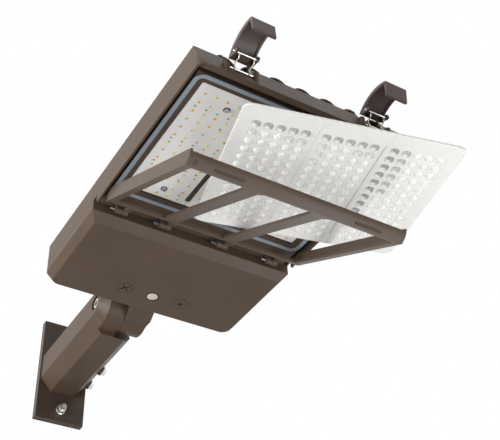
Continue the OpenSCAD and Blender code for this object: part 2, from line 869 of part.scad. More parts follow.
module latch_lever(s, bail_turn, turn) {
    color(dark_bronze) bail_frame(bail_turn) translate([s * latch_x, 0, bail_l])
        rotate([turn - bail_turn, 0, 0]) difference() {
            union() {
                xprism(-lever_w / 2, lever_w / 2, concat(
                    [for (a = [lever_a0:lever_step:lever_a1 - lever_step / 2]) lever_arc(lever_out, a)],
                    [
                        lip_at(0, 0),
                        lip_at(-lip_t / 2, -lip_l),
                        lip_at(hook_l - lip_t / 2, -lip_l),
                        lip_at(hook_l - lip_t / 2, hook_t - lip_l),
                        lip_at(lip_t / 4, hook_t - lip_l),
                        lip_at(lip_t, -lever_t)
                    ],
                    [for (a = [lever_a1 - lever_step:-lever_step:lever_a0]) lever_arc(lever_in, a)]
                ));
                for (t = [-1, 1]) translate([t * (lever_w - cheek_t) / 2 - cheek_t / 2, 0, 0]) {
                    xrod(0, cheek_t, cheek_r);
                    xprism(0, cheek_t, [
                        [-cheek_r / 2, cheek_in],
                        [cheek_r, 0],
                        lever_arc(lever_out, lever_a0),
                        lever_arc(lever_in, lever_a0 + cheek_turn)
                    ]);
                }
            }
            xrod(-lever_w, lever_w, cross_r + fit_gap);
        }
}

module latch_bail_left() { latch_bail(-1, bail_turn_left); }
module latch_lever_left() { latch_lever(-1, bail_turn_left, 0); }
module latch_bail_right() { latch_bail(1, bail_turn_right); }
module latch_lever_right() { latch_lever(1, bail_turn_right, lever_turn_right); }

module latch_pins() {
    color(steel) at_head() for (s = [-1, 1]) translate([s * latch_x, -pivot_front, pivot_z])
        xrod(-pin_half, pin_half, wire_pin_r);
}

// Arm and pole plate
module arm_outline() {
    polygon([
        [arm_facet, arm_up],
        [arm_half, arm_facet],
        [arm_half, -arm_facet],
        [arm_facet, -arm_up],
        [-arm_facet, -arm_up],
        [-arm_half, -arm_facet],
        [-arm_half, arm_facet],
        [-arm_facet, arm_up]
    ]);
}

module set_places() {
    for (k = set_back_shares)
        translate([0, -plate_t - k * tenon_l, 0]) rotate([0, 90 + set_angle, 0]) children();
}

module slip_fitter_arm() {
    color(bronze) difference() {
        union() {
            translate([0, -plate_t, 0]) rotate([90, 0, 0])
                linear_extrude(height = knuckle_back - plate_t - blend_l) arm_outline();
            translate([0, -knuckle_back, 0]) {
                xrod(-cone_x, split_x, knuckle_r);
                translate([-arm_half, 0, 0]) rotate([0, 90, 0])
                    cylinder(h = arm_half - cone_x, r1 = arm_facet, r2 = knuckle_r);
                translate([0, blend_l + over, 0]) rotate([90, 0, 0]) linear_extrude(height = blend_l + over)
                    intersection() {
                        arm_outline();
                        translate([-arm_half, -knuckle_r]) square([arm_half + split_x, 2 * knuckle_r]);
                    }
            }
            set_places() cylinder(h = set_out, r = set_boss_r);
        }
        translate([0, -knuckle_back, 0]) {
            xrod(split_x, arm_half + over, knuckle_r + cut_gap);
            xrod(-arm_half - over, split_x + over, knuckle_bolt_r + fit_gap);
            xrod(-arm_half - over, -arm_half + recess_t, recess_r);
        }
        translate([0, over - plate_t, 0]) rotate([90, 0, 0])
            cylinder(h = tenon_l + over, r = tenon_r + arm_bore_gap);
        translate([0, -tenon_l, 0]) rotate([90, 0, 0])
            cylinder(h = knuckle_back - tenon_l - knuckle_r, r = tenon_r - tenon_wall - wall);
        set_places() cylinder(h = set_out + over, r = set_r + fit_gap);
    }
}

module arm_set_bolts() {
    color(steel) set_places() {
        translate([0, 0, tenon_r + fit_gap]) cylinder(h = set_out - tenon_r, r = set_r);
        translate([0, 0, set_out]) cylinder(h = set_head_t, r = set_head_r, $fn = 6);
        translate([0, 0, set_out]) cylinder(h = set_head_t / 5, r = set_head_r + over);
    }
}

module knuckle_bolt() {
    color([0.8, 0.78, 0.74]) translate([0, -knuckle_back, 0]) difference() {
        union() {
            xrod(-arm_half + recess_t, arm_half - recess_t + nut_t + wall, knuckle_bolt_r);
            xrod(-arm_half + recess_t - bolt_head_t, -arm_half + recess_t, bolt_head_r);
        }
        translate([-arm_half + recess_t - bolt_head_t - over, 0, 0]) rotate([0, 90, 0])
            cylinder(h = bolt_head_t * 0.6 + over, r = bolt_head_r * 0.55, $fn = 6);
    }
}

module knuckle_nut() {
    color(steel) translate([arm_half - recess_t, -knuckle_back, 0]) rotate([0, 90, 0]) difference() {
        cylinder(h = nut_t, r = nut_r, $fn = 6);
        translate([0, 0, -over]) cylinder(h = nut_t + 2 * over, r = knuckle_bolt_r + fit_gap);
    }
}

module tenon_plate() {
    color(dark_bronze) difference() {
        union() {
            translate([-plate_w / 2, -plate_t, -plate_h / 2]) cube([plate_w, plate_t - seal_t, plate_h]);
            translate([0, -plate_t, 0]) rotate([90, 0, 0]) cylinder(h = tenon_l - over, r = tenon_r);
        }
        translate([0, over, 0]) rotate([90, 0, 0])
            cylinder(h = plate_t + tenon_l + over, r = tenon_r - tenon_wall);
        for (s = [-1, 1]) translate([0, over, s * bolt_off]) rotate([90, 0, 0])
            cylinder(h = plate_t + 2 * over, r = bolt_hole_r);
    }
}

module plate_seal() {
    color([0.1, 0.1, 0.1]) difference() {
        translate([-plate_w / 2, -seal_t, -plate_h / 2]) cube([plate_w, seal_t, plate_h]);
        translate([0, over, 0]) rotate([90, 0, 0]) cylinder(h = seal_t + 2 * over, r = tenon_r - tenon_wall);
        for (s = [-1, 1]) translate([0, over, s * bolt_off]) rotate([90, 0, 0])
            cylinder(h = seal_t + 2 * over, r = bolt_hole_r);
    }
}

// Each stud has a plain shank through the plate and a thinner thread for its nut
module pole_studs() {
    color(steel) for (s = [-1, 1]) translate([0, stud_in, s * bolt_off]) rotate([90, 0, 0]) {
        cylinder(h = stud_in + plate_t, r = stud_r);
        cylinder(h = stud_in + plate_t + stud_out, r = thread_r);
    }
}

module pole_washers() {
    color(steel) for (s = [-1, 1]) translate([0, -plate_t, s * bolt_off]) rotate([90, 0, 0]) difference() {
        cylinder(h = washer_t, r = washer_r);
        translate([0, 0, -over]) cylinder(h = washer_t + 2 * over, r = thread_r + fit_gap);
    }
}

module pole_nuts() {
    color(steel) for (s = [-1, 1]) translate([0, -plate_t - washer_t, s * bolt_off]) rotate([90, 0, 0])
        difference() {
            cylinder(h = nut_t, r = pole_nut_r, $fn = 6);
            translate([0, 0, -over]) cylinder(h = nut_t + 2 * over, r = thread_r + fit_gap);
        }
}

tenon_plate();
plate_seal();
slip_fitter_arm();
arm_set_bolts();
pole_studs();
pole_washers();
pole_nuts();
knuckle_bolt();
knuckle_nut();
housing();
knuckle_tongue();
tongue_screws();
wire_bushing();
light_board_left();
light_board_middle();
light_board_right();
light_chips_left();
light_chips_middle();
light_chips_right();
board_screws();
compartment_gasket();
led_driver();
driver_screws();
surge_protector();
terminal_block();
ground_screw();
latch_pins();
cover_hinge_pins();
door_hinge_pins();
door_springs();
driver_cover();
cover_gasket();
dial_switches();
dial_seals();
selector_dial_left();
selector_dial_right();
vent_plug();
vent_ring();
door_frame();
lens_panel();
latch_bail_left();
latch_lever_left();
latch_bail_right();
latch_lever_right();
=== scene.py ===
import json
import math
import bpy
import bmesh
import numpy as np
from mathutils import Matrix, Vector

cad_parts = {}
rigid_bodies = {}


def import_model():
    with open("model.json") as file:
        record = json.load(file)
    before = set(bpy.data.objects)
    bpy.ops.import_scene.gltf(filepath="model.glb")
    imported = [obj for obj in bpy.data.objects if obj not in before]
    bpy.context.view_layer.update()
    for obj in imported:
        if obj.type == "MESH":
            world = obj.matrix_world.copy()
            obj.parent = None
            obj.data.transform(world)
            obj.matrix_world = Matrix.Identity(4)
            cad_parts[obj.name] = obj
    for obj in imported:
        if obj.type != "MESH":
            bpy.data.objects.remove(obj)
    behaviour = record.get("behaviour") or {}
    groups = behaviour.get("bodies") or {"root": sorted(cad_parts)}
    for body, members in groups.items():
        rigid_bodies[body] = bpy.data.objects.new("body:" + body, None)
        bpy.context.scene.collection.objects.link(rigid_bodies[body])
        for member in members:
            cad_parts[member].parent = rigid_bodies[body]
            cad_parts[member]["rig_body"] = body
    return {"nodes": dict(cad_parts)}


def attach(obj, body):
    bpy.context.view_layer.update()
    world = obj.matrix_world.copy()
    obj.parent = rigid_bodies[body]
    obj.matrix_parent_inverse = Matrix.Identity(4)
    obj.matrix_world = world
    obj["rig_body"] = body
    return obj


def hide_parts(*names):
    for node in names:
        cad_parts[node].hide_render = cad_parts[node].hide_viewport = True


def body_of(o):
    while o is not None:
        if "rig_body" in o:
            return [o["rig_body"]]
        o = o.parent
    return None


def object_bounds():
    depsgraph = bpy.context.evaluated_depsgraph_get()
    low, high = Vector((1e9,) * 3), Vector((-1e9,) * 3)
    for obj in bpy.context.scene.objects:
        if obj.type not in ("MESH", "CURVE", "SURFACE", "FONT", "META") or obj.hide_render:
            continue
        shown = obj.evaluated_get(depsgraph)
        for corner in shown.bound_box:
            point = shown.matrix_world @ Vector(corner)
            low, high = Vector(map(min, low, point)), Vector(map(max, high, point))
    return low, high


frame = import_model()
nodes = frame["nodes"]
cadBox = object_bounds()
scene = bpy.context.scene
print("frame loaded:", len(nodes), "nodes")

# camera at the photograph's angle: a place in metres and three unit directions
view = {
    "place": (-0.5622, -1.5644, -0.9595),
    "right": (0.8574, -0.5137, -0.0297),
    "down": (0.3037, 0.5518, -0.7767),
    "forward": (0.4154, 0.6570, 0.6291),
    "lens": 72.43,
    "sensor": 36.0,
    "near": 0.05,
    "far": 50.0,
}


def makeCamera():
    cam = bpy.data.objects.new("photoCamera", bpy.data.cameras.new("photoCamera"))
    scene.collection.objects.link(cam)
    columns = np.array([view["right"], [-v for v in view["down"]], [-v for v in view["forward"]]]).T
    turn = Matrix(columns.tolist()).to_quaternion().to_matrix()
    cam.matrix_world = Matrix.Translation(view["place"]) @ turn.to_4x4()
    cam.data.lens = view["lens"]
    cam.data.sensor_width = view["sensor"]
    cam.data.clip_start = view["near"]
    cam.data.clip_end = view["far"]
    scene.camera = cam


makeCamera()
scene.view_settings.view_transform = "Standard"
print("camera set")


# material helpers: each returns a socket, and every pattern reads Object coordinates
def newMaterial(name):
    mat = bpy.data.materials.new(name)
    mat.use_nodes = True
    tree = mat.node_tree
    tree.nodes.clear()
    out = tree.nodes.new("ShaderNodeOutputMaterial")
    shader = tree.nodes.new("ShaderNodeBsdfPrincipled")
    tree.links.new(shader.outputs[0], out.inputs[0])
    coords = tree.nodes.new("ShaderNodeTexCoord")
    return mat, tree, shader, coords.outputs["Object"]


def noise(tree, vector, scale, detail=3.0, rough=0.5, stretch=None):
    if stretch:  # turns the noise into streaks
        mapping = tree.nodes.new("ShaderNodeMapping")
        mapping.inputs["Scale"].default_value = stretch
        tree.links.new(vector, mapping.inputs["Vector"])
        vector = mapping.outputs[0]
    n = tree.nodes.new("ShaderNodeTexNoise")
    n.inputs["Scale"].default_value = scale
    n.inputs["Detail"].default_value = detail
    n.inputs["Roughness"].default_value = rough
    tree.links.new(vector, n.inputs["Vector"])
    return n.outputs[0]


def ramp(tree, value, low, high, a, b):
    r = tree.nodes.new("ShaderNodeValToRGB")
    r.color_ramp.elements[0].position = low
    r.color_ramp.elements[0].color = (*a, 1)
    r.color_ramp.elements[1].position = high
    r.color_ramp.elements[1].color = (*b, 1)
    tree.links.new(value, r.inputs[0])
    return r.outputs[0]


def spread(tree, value, low, high, fromLow=0.3, fromHigh=0.7):
    m = tree.nodes.new("ShaderNodeMapRange")
    m.inputs["From Min"].default_value = fromLow
    m.inputs["From Max"].default_value = fromHigh
    m.inputs["To Min"].default_value = low
    m.inputs["To Max"].default_value = high
    tree.links.new(value, m.inputs[0])
    return m.outputs[0]


def bump(tree, shader, height, strength, distance):
    b = tree.nodes.new("ShaderNodeBump")
    b.inputs["Strength"].default_value = strength
    b.inputs["Distance"].default_value = distance
    tree.links.new(height, b.inputs["Height"])
    tree.links.new(b.outputs[0], shader.inputs["Normal"])


def multiply(tree, a, b):
    mix = tree.nodes.new("ShaderNodeMix")
    mix.data_type = "RGBA"
    mix.blend_type = "MULTIPLY"
    mix.inputs[0].default_value = 1.0
    tree.links.new(a, mix.inputs[6])
    tree.links.new(b, mix.inputs[7])
    return mix.outputs[2]


def shade(tone, share):
    return tuple(min(1.0, c * share) for c in tone)


# powder coat: orange peel, slow drift of the tone, fine speckle
def paint(name, tone, low=0.42, high=0.54, grain=0.14):
    mat, tree, shader, at = newMaterial(name)
    slow = noise(tree, at, 14, 4)
    fine = noise(tree, at, 900, 2)
    drift = ramp(tree, slow, 0.35, 0.65, shade(tone, 0.92), shade(tone, 1.08))
    speckle = ramp(tree, fine, 0.40, 0.62, (0.88, 0.88, 0.88), (1.0, 1.0, 1.0))
    tree.links.new(multiply(tree, drift, speckle), shader.inputs["Base Color"])
    tree.links.new(spread(tree, slow, low, high), shader.inputs["Roughness"])
    shader.inputs["Specular IOR Level"].default_value = 0.30
    bump(tree, shader, fine, grain, 0.0003)
    return mat


# plated or drawn metal: streaks in its gloss, slow drift of the tone
def metal(name, tone, low, high, stretch=(1, 1, 1), scale=220):
    mat, tree, shader, at = newMaterial(name)
    streak = noise(tree, at, scale, 4, 0.6, stretch)
    slow = noise(tree, at, 45, 3)
    tree.links.new(ramp(tree, slow, 0.3, 0.7, shade(tone, 0.82), tone), shader.inputs["Base Color"])
    tree.links.new(spread(tree, streak, low, high), shader.inputs["Roughness"])
    shader.inputs["Metallic"].default_value = 1.0
    bump(tree, shader, streak, 0.12, 0.0001)
    return mat


# moulded plastic or rubber: fine grain, and a drift between two tones
def plastic(name, tone, low=0.35, high=0.5, scale=300, strength=0.1, second=None):
    mat, tree, shader, at = newMaterial(name)
    fine = noise(tree, at, scale, 3)
    slow = noise(tree, at, 30, 3)
    drift = ramp(tree, slow, 0.3, 0.7, second or shade(tone, 0.9), tone)
    tree.links.new(drift, shader.inputs["Base Color"])
    tree.links.new(spread(tree, fine, low, high), shader.inputs["Roughness"])
    bump(tree, shader, fine, strength, 0.0002)
    return mat


finish = {
    "bronze": (0.078, 0.050, 0.032),
    "doorBronze": (0.080, 0.052, 0.034),
    "plate": (0.048, 0.032, 0.023),
    "strap": (0.080, 0.056, 0.050),
    "board": (0.90, 0.89, 0.87),
    "gasket": (0.27, 0.315, 0.37),
    "orangePhosphor": (1.0, 0.50, 0.02),
    "yellowPhosphor": (1.0, 0.78, 0.06),
    "slotGloss": 0.08,
}
bronze = paint("bronzePowder", finish["bronze"])
doorPaint = paint("doorPowder", finish["doorBronze"], 0.34, 0.46)
platePaint = paint("plateEnamel", finish["plate"], 0.26, 0.38, 0.08)
strapPaint = paint("strapPowder", finish["strap"], 0.24, 0.34, 0.08)
steel = metal("platedSteel", (0.80, 0.79, 0.76), 0.16, 0.34)
wireSteel = metal("wireSteel", (0.66, 0.60, 0.48), 0.22, 0.36)
rubber = plastic("blackRubber", (0.014, 0.014, 0.015), 0.5, 0.7, 500, 0.2)
gasketRubber = plastic("gasketRubber", finish["gasket"], 0.4, 0.6, 400, 0.25)
sealRubber = plastic("sealRubber", (0.030, 0.034, 0.040), 0.35, 0.5, 400, 0.2)
boardMask = plastic("boardMask", finish["board"], 0.28, 0.42, 120, 0.05, shade(finish["board"], 0.96))
chipCase = plastic("chipCase", (0.82, 0.80, 0.74), 0.3, 0.45, 700, 0.1)
orangePhosphor = plastic("orangePhosphor", finish["orangePhosphor"], 0.25, 0.4, 900, 0.1)
yellowPhosphor = plastic("yellowPhosphor", finish["yellowPhosphor"], 0.25, 0.4, 900, 0.1)
partBlack = plastic("partBlack", (0.10, 0.10, 0.11), 0.35, 0.5, 700, 0.1)
caseMetal = metal("driverCase", (0.70, 0.70, 0.70), 0.35, 0.5, (1, 12, 1))
blackPlastic = plastic("blackPlastic", (0.022, 0.022, 0.024), 0.4, 0.55)
creamPlastic = plastic("creamPlastic", (0.58, 0.53, 0.43), 0.35, 0.5)
greenPaint = plastic("greenLacquer", (0.04, 0.16, 0.05), 0.3, 0.4)
# near-black: the real colour of the rubber seal rings, and painted shade for the dark inside of the dials'
# slots
sealBlackSlotShade = plastic("sealBlackSlotShade", (0.006, 0.006, 0.007), 0.7, 0.9)
slotShader = sealBlackSlotShade.node_tree.nodes["Principled BSDF"]
slotShader.inputs["Specular IOR Level"].default_value = finish["slotGloss"]
pinSteel = metal("pinSteel", (0.22, 0.22, 0.24), 0.3, 0.45)

materialOf = [
    (bronze, ["housing", "knuckle_tongue", "driver_cover", "slip_fitter_arm",
              "selector_dial_left", "selector_dial_right"]),
    (doorPaint, ["door_frame"]),
    (platePaint, ["tenon_plate"]),
    (strapPaint, ["latch_lever_left", "latch_lever_right"]),
    (steel, ["arm_set_bolts", "pole_studs", "pole_washers", "pole_nuts", "knuckle_bolt", "knuckle_nut",
             "tongue_screws", "board_screws", "driver_screws", "latch_pins", "cover_hinge_pins"]),
    (pinSteel, ["door_hinge_pins", "door_springs"]),
    (wireSteel, ["latch_bail_left", "latch_bail_right"]),
    (rubber, ["plate_seal", "wire_bushing", "cover_gasket", "vent_ring"]),
    (gasketRubber, ["compartment_gasket"]),
    (sealRubber, ["dial_seals"]),
    (boardMask, ["light_board_left", "light_board_middle", "light_board_right"]),
    (orangePhosphor, ["light_chips_left", "light_chips_middle", "light_chips_right"]),
    (caseMetal, ["led_driver"]),
    (blackPlastic, ["surge_protector", "dial_switches"]),
    (creamPlastic, ["terminal_block", "vent_plug"]),
    (greenPaint, ["ground_screw"]),
    (boardMask, ["lens_panel"]),
]


def dress(obj, *mats):
    obj.data.materials.clear()
    for mat in mats:
        obj.data.materials.append(mat)


for mat, names in materialOf:
    for name in names:
        dress(nodes[name], mat)
print("materials on", len(nodes), "nodes")

# mesh helpers: places are in millimetres of the head, whose zero is at the housing's rear lower edge
headZero = (0, -338, -25)


def toWorld(points):
    return (np.asarray(points, dtype=float) + headZero) / 1000


def toHead(points):
    return np.asarray(points, dtype=float) * 1000 - headZero


def turnX(points, angle):  # a turn about X by an angle in degrees, written out for Y and Z
    c, s = math.cos(math.radians(angle)), math.sin(math.radians(angle))
    return np.asarray(points) @ np.array([[1, 0, 0], [0, c, s], [0, -s, c]])


# faces of one or many grids: each cell joins four neighbours, and wrap joins the last to the first
def gridFaces(shape, wrapU, wrapV):
    n, m = shape[-3], shape[-2]
    copies = int(np.prod(shape[:-3])) if len(shape) > 3 else 1
    index = np.arange(n * m).reshape(n, m)
    if wrapU:
        index = np.vstack([index, index[:1]])
    if wrapV:
        index = np.hstack([index, index[:, :1]])
    corners = [index[:-1, :-1], index[1:, :-1], index[1:, 1:], index[:-1, 1:]]
    quads = np.stack(corners, axis=-1).reshape(-1, 4)
    return (quads[None] + np.arange(copies)[:, None, None] * n * m).reshape(-1, 4)


def shell(points, wrapU=False, wrapV=True, capped=False, material=0):
    return points, wrapU, wrapV, capped, material


def solid(points, material=0):  # a shell that is closed at both ends
    return shell(points, capped=True, material=material)


def placed(shells, move):  # the same shells with each one's points moved
    return [(move(np.asarray(points)), *rest) for points, *rest in shells]


# edges that turn less than the sharp angle are smooth, and so are the open ones
def smoothEdges(work, sharp):
    for edge in work.edges:
        edge.smooth = len(edge.link_faces) != 2 or edge.calc_face_angle(0) < math.radians(sharp)


def makePiece(name, body, mats, shells, replaced=(), bevel=0.0, sharp=35):
    places, faces, which, count = [], [], [], 0
    for points, wrapU, wrapV, capped, material in shells:
        points = np.asarray(points, dtype=float)
        quads = gridFaces(points.shape, wrapU, wrapV) + count
        faces += quads.tolist()
        which += [material] * len(quads)
        if capped:
            n, m = points.shape[-3], points.shape[-2]
            copies = points.size // (3 * n * m)
            first = np.arange(m)[None] + np.arange(copies)[:, None] * n * m + count
            ends = first.tolist() + (first + (n - 1) * m).tolist()
            faces += ends
            which += [material] * len(ends)
        places.append(points.reshape(-1, 3))
        count += places[-1].shape[0]
    mesh = bpy.data.meshes.new(name)
    mesh.from_pydata(toWorld(np.vstack(places)).tolist(), [], faces)
    for mat in mats:
        mesh.materials.append(mat)
    mesh.polygons.foreach_set("material_index", np.array(which, dtype=np.int32))
    work = bmesh.new()
    work.from_mesh(mesh)
    bmesh.ops.remove_doubles(work, verts=work.verts, dist=2e-6)
    bmesh.ops.recalc_face_normals(work, faces=work.faces)
    smoothEdges(work, sharp)
    work.to_mesh(mesh)
    work.free()
    mesh.polygons.foreach_set("use_smooth", np.ones(len(mesh.polygons), dtype=bool))
    piece = bpy.data.objects.new(name, mesh)
    scene.collection.objects.link(piece)
    if bevel:
        soften(piece, bevel)
    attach(piece, body)
    if replaced:
        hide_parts(*replaced)
    return piece


def soften(piece, width, angle=28):
    edge = piece.modifiers.new("easedEdges", "BEVEL")
    edge.width = width
    edge.segments = 2
    edge.limit_method = "ANGLE"
    edge.angle_limit = math.radians(angle)
    edge.use_clamp_overlap = True
    flat = piece.modifiers.new("flatFaces", "WEIGHTED_NORMAL")
    flat.mode = "FACE_AREA"
    flat.weight = 100


# a pillow: a box whose cosines and sines are raised to a small power, so that its edges are round
def pillow(half, power=0.3, rows=5, columns=16):
    lift = np.linspace(-90, 90, rows) * math.pi / 180
    turn = np.arange(columns) * 2 * math.pi / columns
    flat = np.sign(np.cos(lift)) * np.abs(np.cos(lift)) ** power
    flat[[0, -1]] = 0
    high = np.sign(np.sin(lift)) * np.abs(np.sin(lift)) ** power
    x = np.outer(flat, np.sign(np.cos(turn)) * np.abs(np.cos(turn)) ** power) * half[0]
    y = np.outer(flat, np.sign(np.sin(turn)) * np.abs(np.sin(turn)) ** power) * half[1]
    z = np.outer(high, np.ones(columns)) * half[2]
    return np.stack([x, y, z], axis=-1)


def stamp(base, centres):  # one grid copied to each centre
    return np.asarray(centres, dtype=float)[:, None, None, :] + base[None]


# a lathe: a profile of radius and height carried round an axis through a centre
def lathe(profile, centre, axis=(0, 0, 1), steps=40):
    axis = np.array(axis, dtype=float) / np.linalg.norm(axis)
    side = np.cross(axis, [0, 1, 0] if abs(axis[1]) < 0.9 else [1, 0, 0])
    side = side / np.linalg.norm(side)
    other = np.cross(axis, side)
    turn = np.arange(steps) * 2 * math.pi / steps
    ring = np.cos(turn)[:, None] * side + np.sin(turn)[:, None] * other
    profile = np.array(profile, dtype=float)
    return np.array(centre) + profile[:, 0, None, None] * ring[None] + profile[:, 1, None, None] * axis


def rodProfile(radius, half, ease=0.4):  # a rod's profile for the lathe, with its two rims chamfered
    return [(0, -half), (radius - ease, -half), (radius, ease - half),
            (radius, half - ease), (radius - ease, half), (0, half)]


# a tube: circles of one radius square to a path, with a side that no part of the path runs along
def tube(path, radius, sides=12):
    path = np.array(path, dtype=float)
    along = np.gradient(path, axis=0)
    along /= np.linalg.norm(along, axis=1)[:, None]
    side = np.cross(along, [0.123, 0.456, 0.881])
    side /= np.linalg.norm(side, axis=1)[:, None]
    other = np.cross(along, side)
    turn = np.arange(sides) * 2 * math.pi / sides
    return path[:, None] + radius * (np.cos(turn)[None, :, None] * side[:, None]
                                     + np.sin(turn)[None, :, None] * other[:, None])


# a Catmull-Rom curve: on each stretch a cubic through its ends, whose slopes follow the neighbours
def smoothPath(points, count=40):
    p = np.array(points, dtype=float)
    p = np.vstack([2 * p[0] - p[1], p, 2 * p[-1] - p[-2]])
    t = np.linspace(0, len(points) - 1 - 1e-9, count)
    i = t.astype(int)
    f = (t - i)[:, None]
    a, b, c, d = p[i], p[i + 1], p[i + 2], p[i + 3]
    square = 2 * a - 5 * b + 4 * c - d
    cube = 3 * b - a - 3 * c + d
    return 0.5 * (2 * b + (c - a) * f + square * f ** 2 + cube * f ** 3)


def plate(outline, x0, x1):  # an outline of Y and Z carried straight from one X to another
    outline = np.array(outline, dtype=float)
    return np.stack([np.column_stack([np.full(len(outline), x), outline]) for x in (x0, x1)])


# a ring of four quarter circles joined by straight sides, with one radius in front and one at the rear
def roundedRing(halfW, front, rear, rFront, rRear, z, steps=9):
    corners = [
        (halfW - rRear, rear - rRear, rRear, 0),
        (rRear - halfW, rear - rRear, rRear, 90),
        (rFront - halfW, front + rFront, rFront, 180),
        (halfW - rFront, front + rFront, rFront, 270),
    ]
    ring = []
    for x, y, r, start in corners:
        a = np.radians(np.linspace(start, start + 90, steps))
        ring.append(np.column_stack([x + r * np.cos(a), y + r * np.sin(a), np.full(steps, z)]))
    return np.vstack(ring)


# driver cover: a pan lofted through rounded rings, inside up to its lip, then outside down to the bottom;
# each ring gives its distance in from the sides, front and rear, its front and rear radius and its height
cover = {
    "halfW": 165.0,
    "front": -182.0,
    "rear": -0.3,
    "rings": [
        (12.5, 15.0, 5.0, 2.0, 9.5, -25.9),
        (2.5, 2.5, 2.5, 1.0, 9.5, -16.0),
        (2.5, 2.5, 2.5, 1.0, 9.5, -1.0),
        (0.0, 0.0, 0.0, 1.5, 12.0, -1.0),
        (0.0, 0.0, 0.0, 1.5, 12.0, -16.3),
        (0.5, 0.5, 0.2, 1.5, 12.0, -17.2),
        (9.2, 12.2, 1.2, 3.0, 14.0, -27.7),
        (10.3, 13.4, 2.4, 4.0, 15.0, -28.4),
    ],
    "barrelX": 102.0,
    "barrelHalf": 13.4,
    "barrelR": 4.0,
    "barrelY": 4.0,
    "barrelZ": -13.5,
    "web": [(-1.5, -17.4), (3.8, -17.4), (5.2, -16.6), (4.0, -13.5), (-1.5, -13.5)],
    "bevel": 0.0003,
}


def makeCover():
    p = cover
    rings = [roundedRing(p["halfW"] - side, p["front"] + front, p["rear"] - rear, rFront, rRear, z)
             for side, front, rear, rFront, rRear, z in p["rings"]]
    shells = [solid(np.stack(rings))]
    barrel = rodProfile(p["barrelR"], p["barrelHalf"])
    for s in (-1, 1):
        x = s * p["barrelX"]
        shells.append(shell(lathe(barrel, (x, p["barrelY"], p["barrelZ"]), (1, 0, 0), 28)))
        shells.append(solid(plate(p["web"], x - p["barrelHalf"], x + p["barrelHalf"])))
    makePiece("coverPan", "cover", [bronze], shells, ["driver_cover"],
              bevel=p["bevel"])


makeCover()
print("cover lofted")

# castings: how far each one's sharp edges are eased, in metres
eased = {
    "housing": 0.0012,
    "door_frame": 0.0009,
    "slip_fitter_arm": 0.0016,
    "knuckle_tongue": 0.0012,
    "tenon_plate": 0.0010,
}
# door: its hinge axis and opening, its free bar's outer face and lower edge, and the slope cut on that face
door = {
    "axis": (0.0, -191.0, -12.0),
    "open": 26.58,
    "far": -489.3,
    "low": -12.5,
    "slopeHigh": 10.0,
    "slopeDeep": 5.0,
    "aligned": 0.99,
    "touching": 0.05,
}


def swung(points):  # from the closed door's place to the open one
    return turnX(np.asarray(points) - door["axis"], door["open"]) + door["axis"]


# cuts the free bar's outer face along a line, and draws its lower edge back, which leaves a sloping face
def slopeFreeBar(work):
    p = door
    origin = toWorld(swung([0, p["far"], p["low"] + p["slopeHigh"]]))
    normal = turnX([0, 0, 1.0], p["open"])
    outward = turnX([0, -1.0, 0], p["open"])
    outer = [f for f in work.faces if f.normal.dot(outward) > p["aligned"]]
    sides = [f for f in work.faces if abs(f.normal.x) > p["aligned"]]
    geom = list({item for f in outer + sides for item in [f, *f.edges, *f.verts]})
    bmesh.ops.bisect_plane(work, geom=geom, dist=1e-7, plane_co=origin.tolist(), plane_no=normal.tolist())
    closed = turnX(toHead([v.co[:] for v in work.verts]) - p["axis"], -p["open"]) + p["axis"]
    onFace = np.abs(closed[:, 1] - p["far"]) < p["touching"]
    onEdge = np.abs(closed[:, 2] - p["low"]) < p["touching"]
    closed[onFace & onEdge, 1] += p["slopeDeep"]
    for vert, place in zip(work.verts, toWorld(swung(closed))):
        vert.co = place


def easeNode(name, width):  # a merged copy of a casting whose sharp edges are rounded
    source = nodes[name]
    mesh = source.data.copy()
    work = bmesh.new()
    work.from_mesh(mesh)
    bmesh.ops.remove_doubles(work, verts=work.verts, dist=1e-6)
    bmesh.ops.dissolve_limit(work, angle_limit=math.radians(0.5), verts=work.verts, edges=work.edges)
    if name == "door_frame":
        slopeFreeBar(work)
    work.to_mesh(mesh)
    work.free()
    piece = bpy.data.objects.new(name + "_cast", mesh)
    scene.collection.objects.link(piece)
    mesh.polygons.foreach_set("use_smooth", np.ones(len(mesh.polygons), dtype=bool))
    soften(piece, width)
    body = body_of(source)
    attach(piece, body if isinstance(body, str) else body[0])
    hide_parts(name)


for name, width in eased.items():
    easeNode(name, width)
print("eased castings:", len(eased))

# small cast details of the door: shelves for the latches, a corner post, and the cross bars' scalloped feet
trim = {
    "shelfX": (-102.0, 102.0),
    "shelfHalf": 19.7,
    "shelf": [(-489.1, -9.4), (-485.5, -9.9), (-485.5, -7.2), (-489.1, -7.6)],
    "postX": -148.8,
    "postY": -486.6,
    "post": [(0, -10.8), (1.9, -10.8), (2.3, -10.2), (2.3, 4.5), (1.8, 5.2), (0, 5.2)],
    "feet": [(-55.5, -38.5), (41.5, 61.0)],
    "footDeep": 24.0,
    "footUnder": 2.0,
    "footZ": (-12.3, -9.3),
    "inner": -478.0,
    "bevel": 0.0004,
}


# a foot: a quarter circle that is hollow towards the window, stretched to the foot's width and depth
def footOutline(x0, x1):
    p = trim
    a = np.radians(np.linspace(180, 270, 9))
    curve = np.column_stack([x1 + (x1 - x0) * np.cos(a), p["inner"] + p["footDeep"] * (1 + np.sin(a))])
    under = p["inner"] - p["footUnder"]
    return np.vstack([[(x0, under), (x0, p["inner"] + p["footDeep"])], curve[1:], [(x1, under)]])


def makeDoorTrim():
    p = trim
    shells = [solid(plate(p["shelf"], x - p["shelfHalf"], x + p["shelfHalf"])) for x in p["shelfX"]]
    shells.append(shell(lathe(p["post"], (p["postX"], p["postY"], 0), steps=20)))
    for x0, x1 in p["feet"]:
        outline = footOutline(x0, x1)
        ends = [np.column_stack([outline, np.full(len(outline), z)]) for z in p["footZ"]]
        shells.append(solid(np.stack(ends)))
    makePiece("doorTrim", "door", [doorPaint], placed(shells, swung),
              bevel=p["bevel"])


makeDoorTrim()
print("door trimmed")

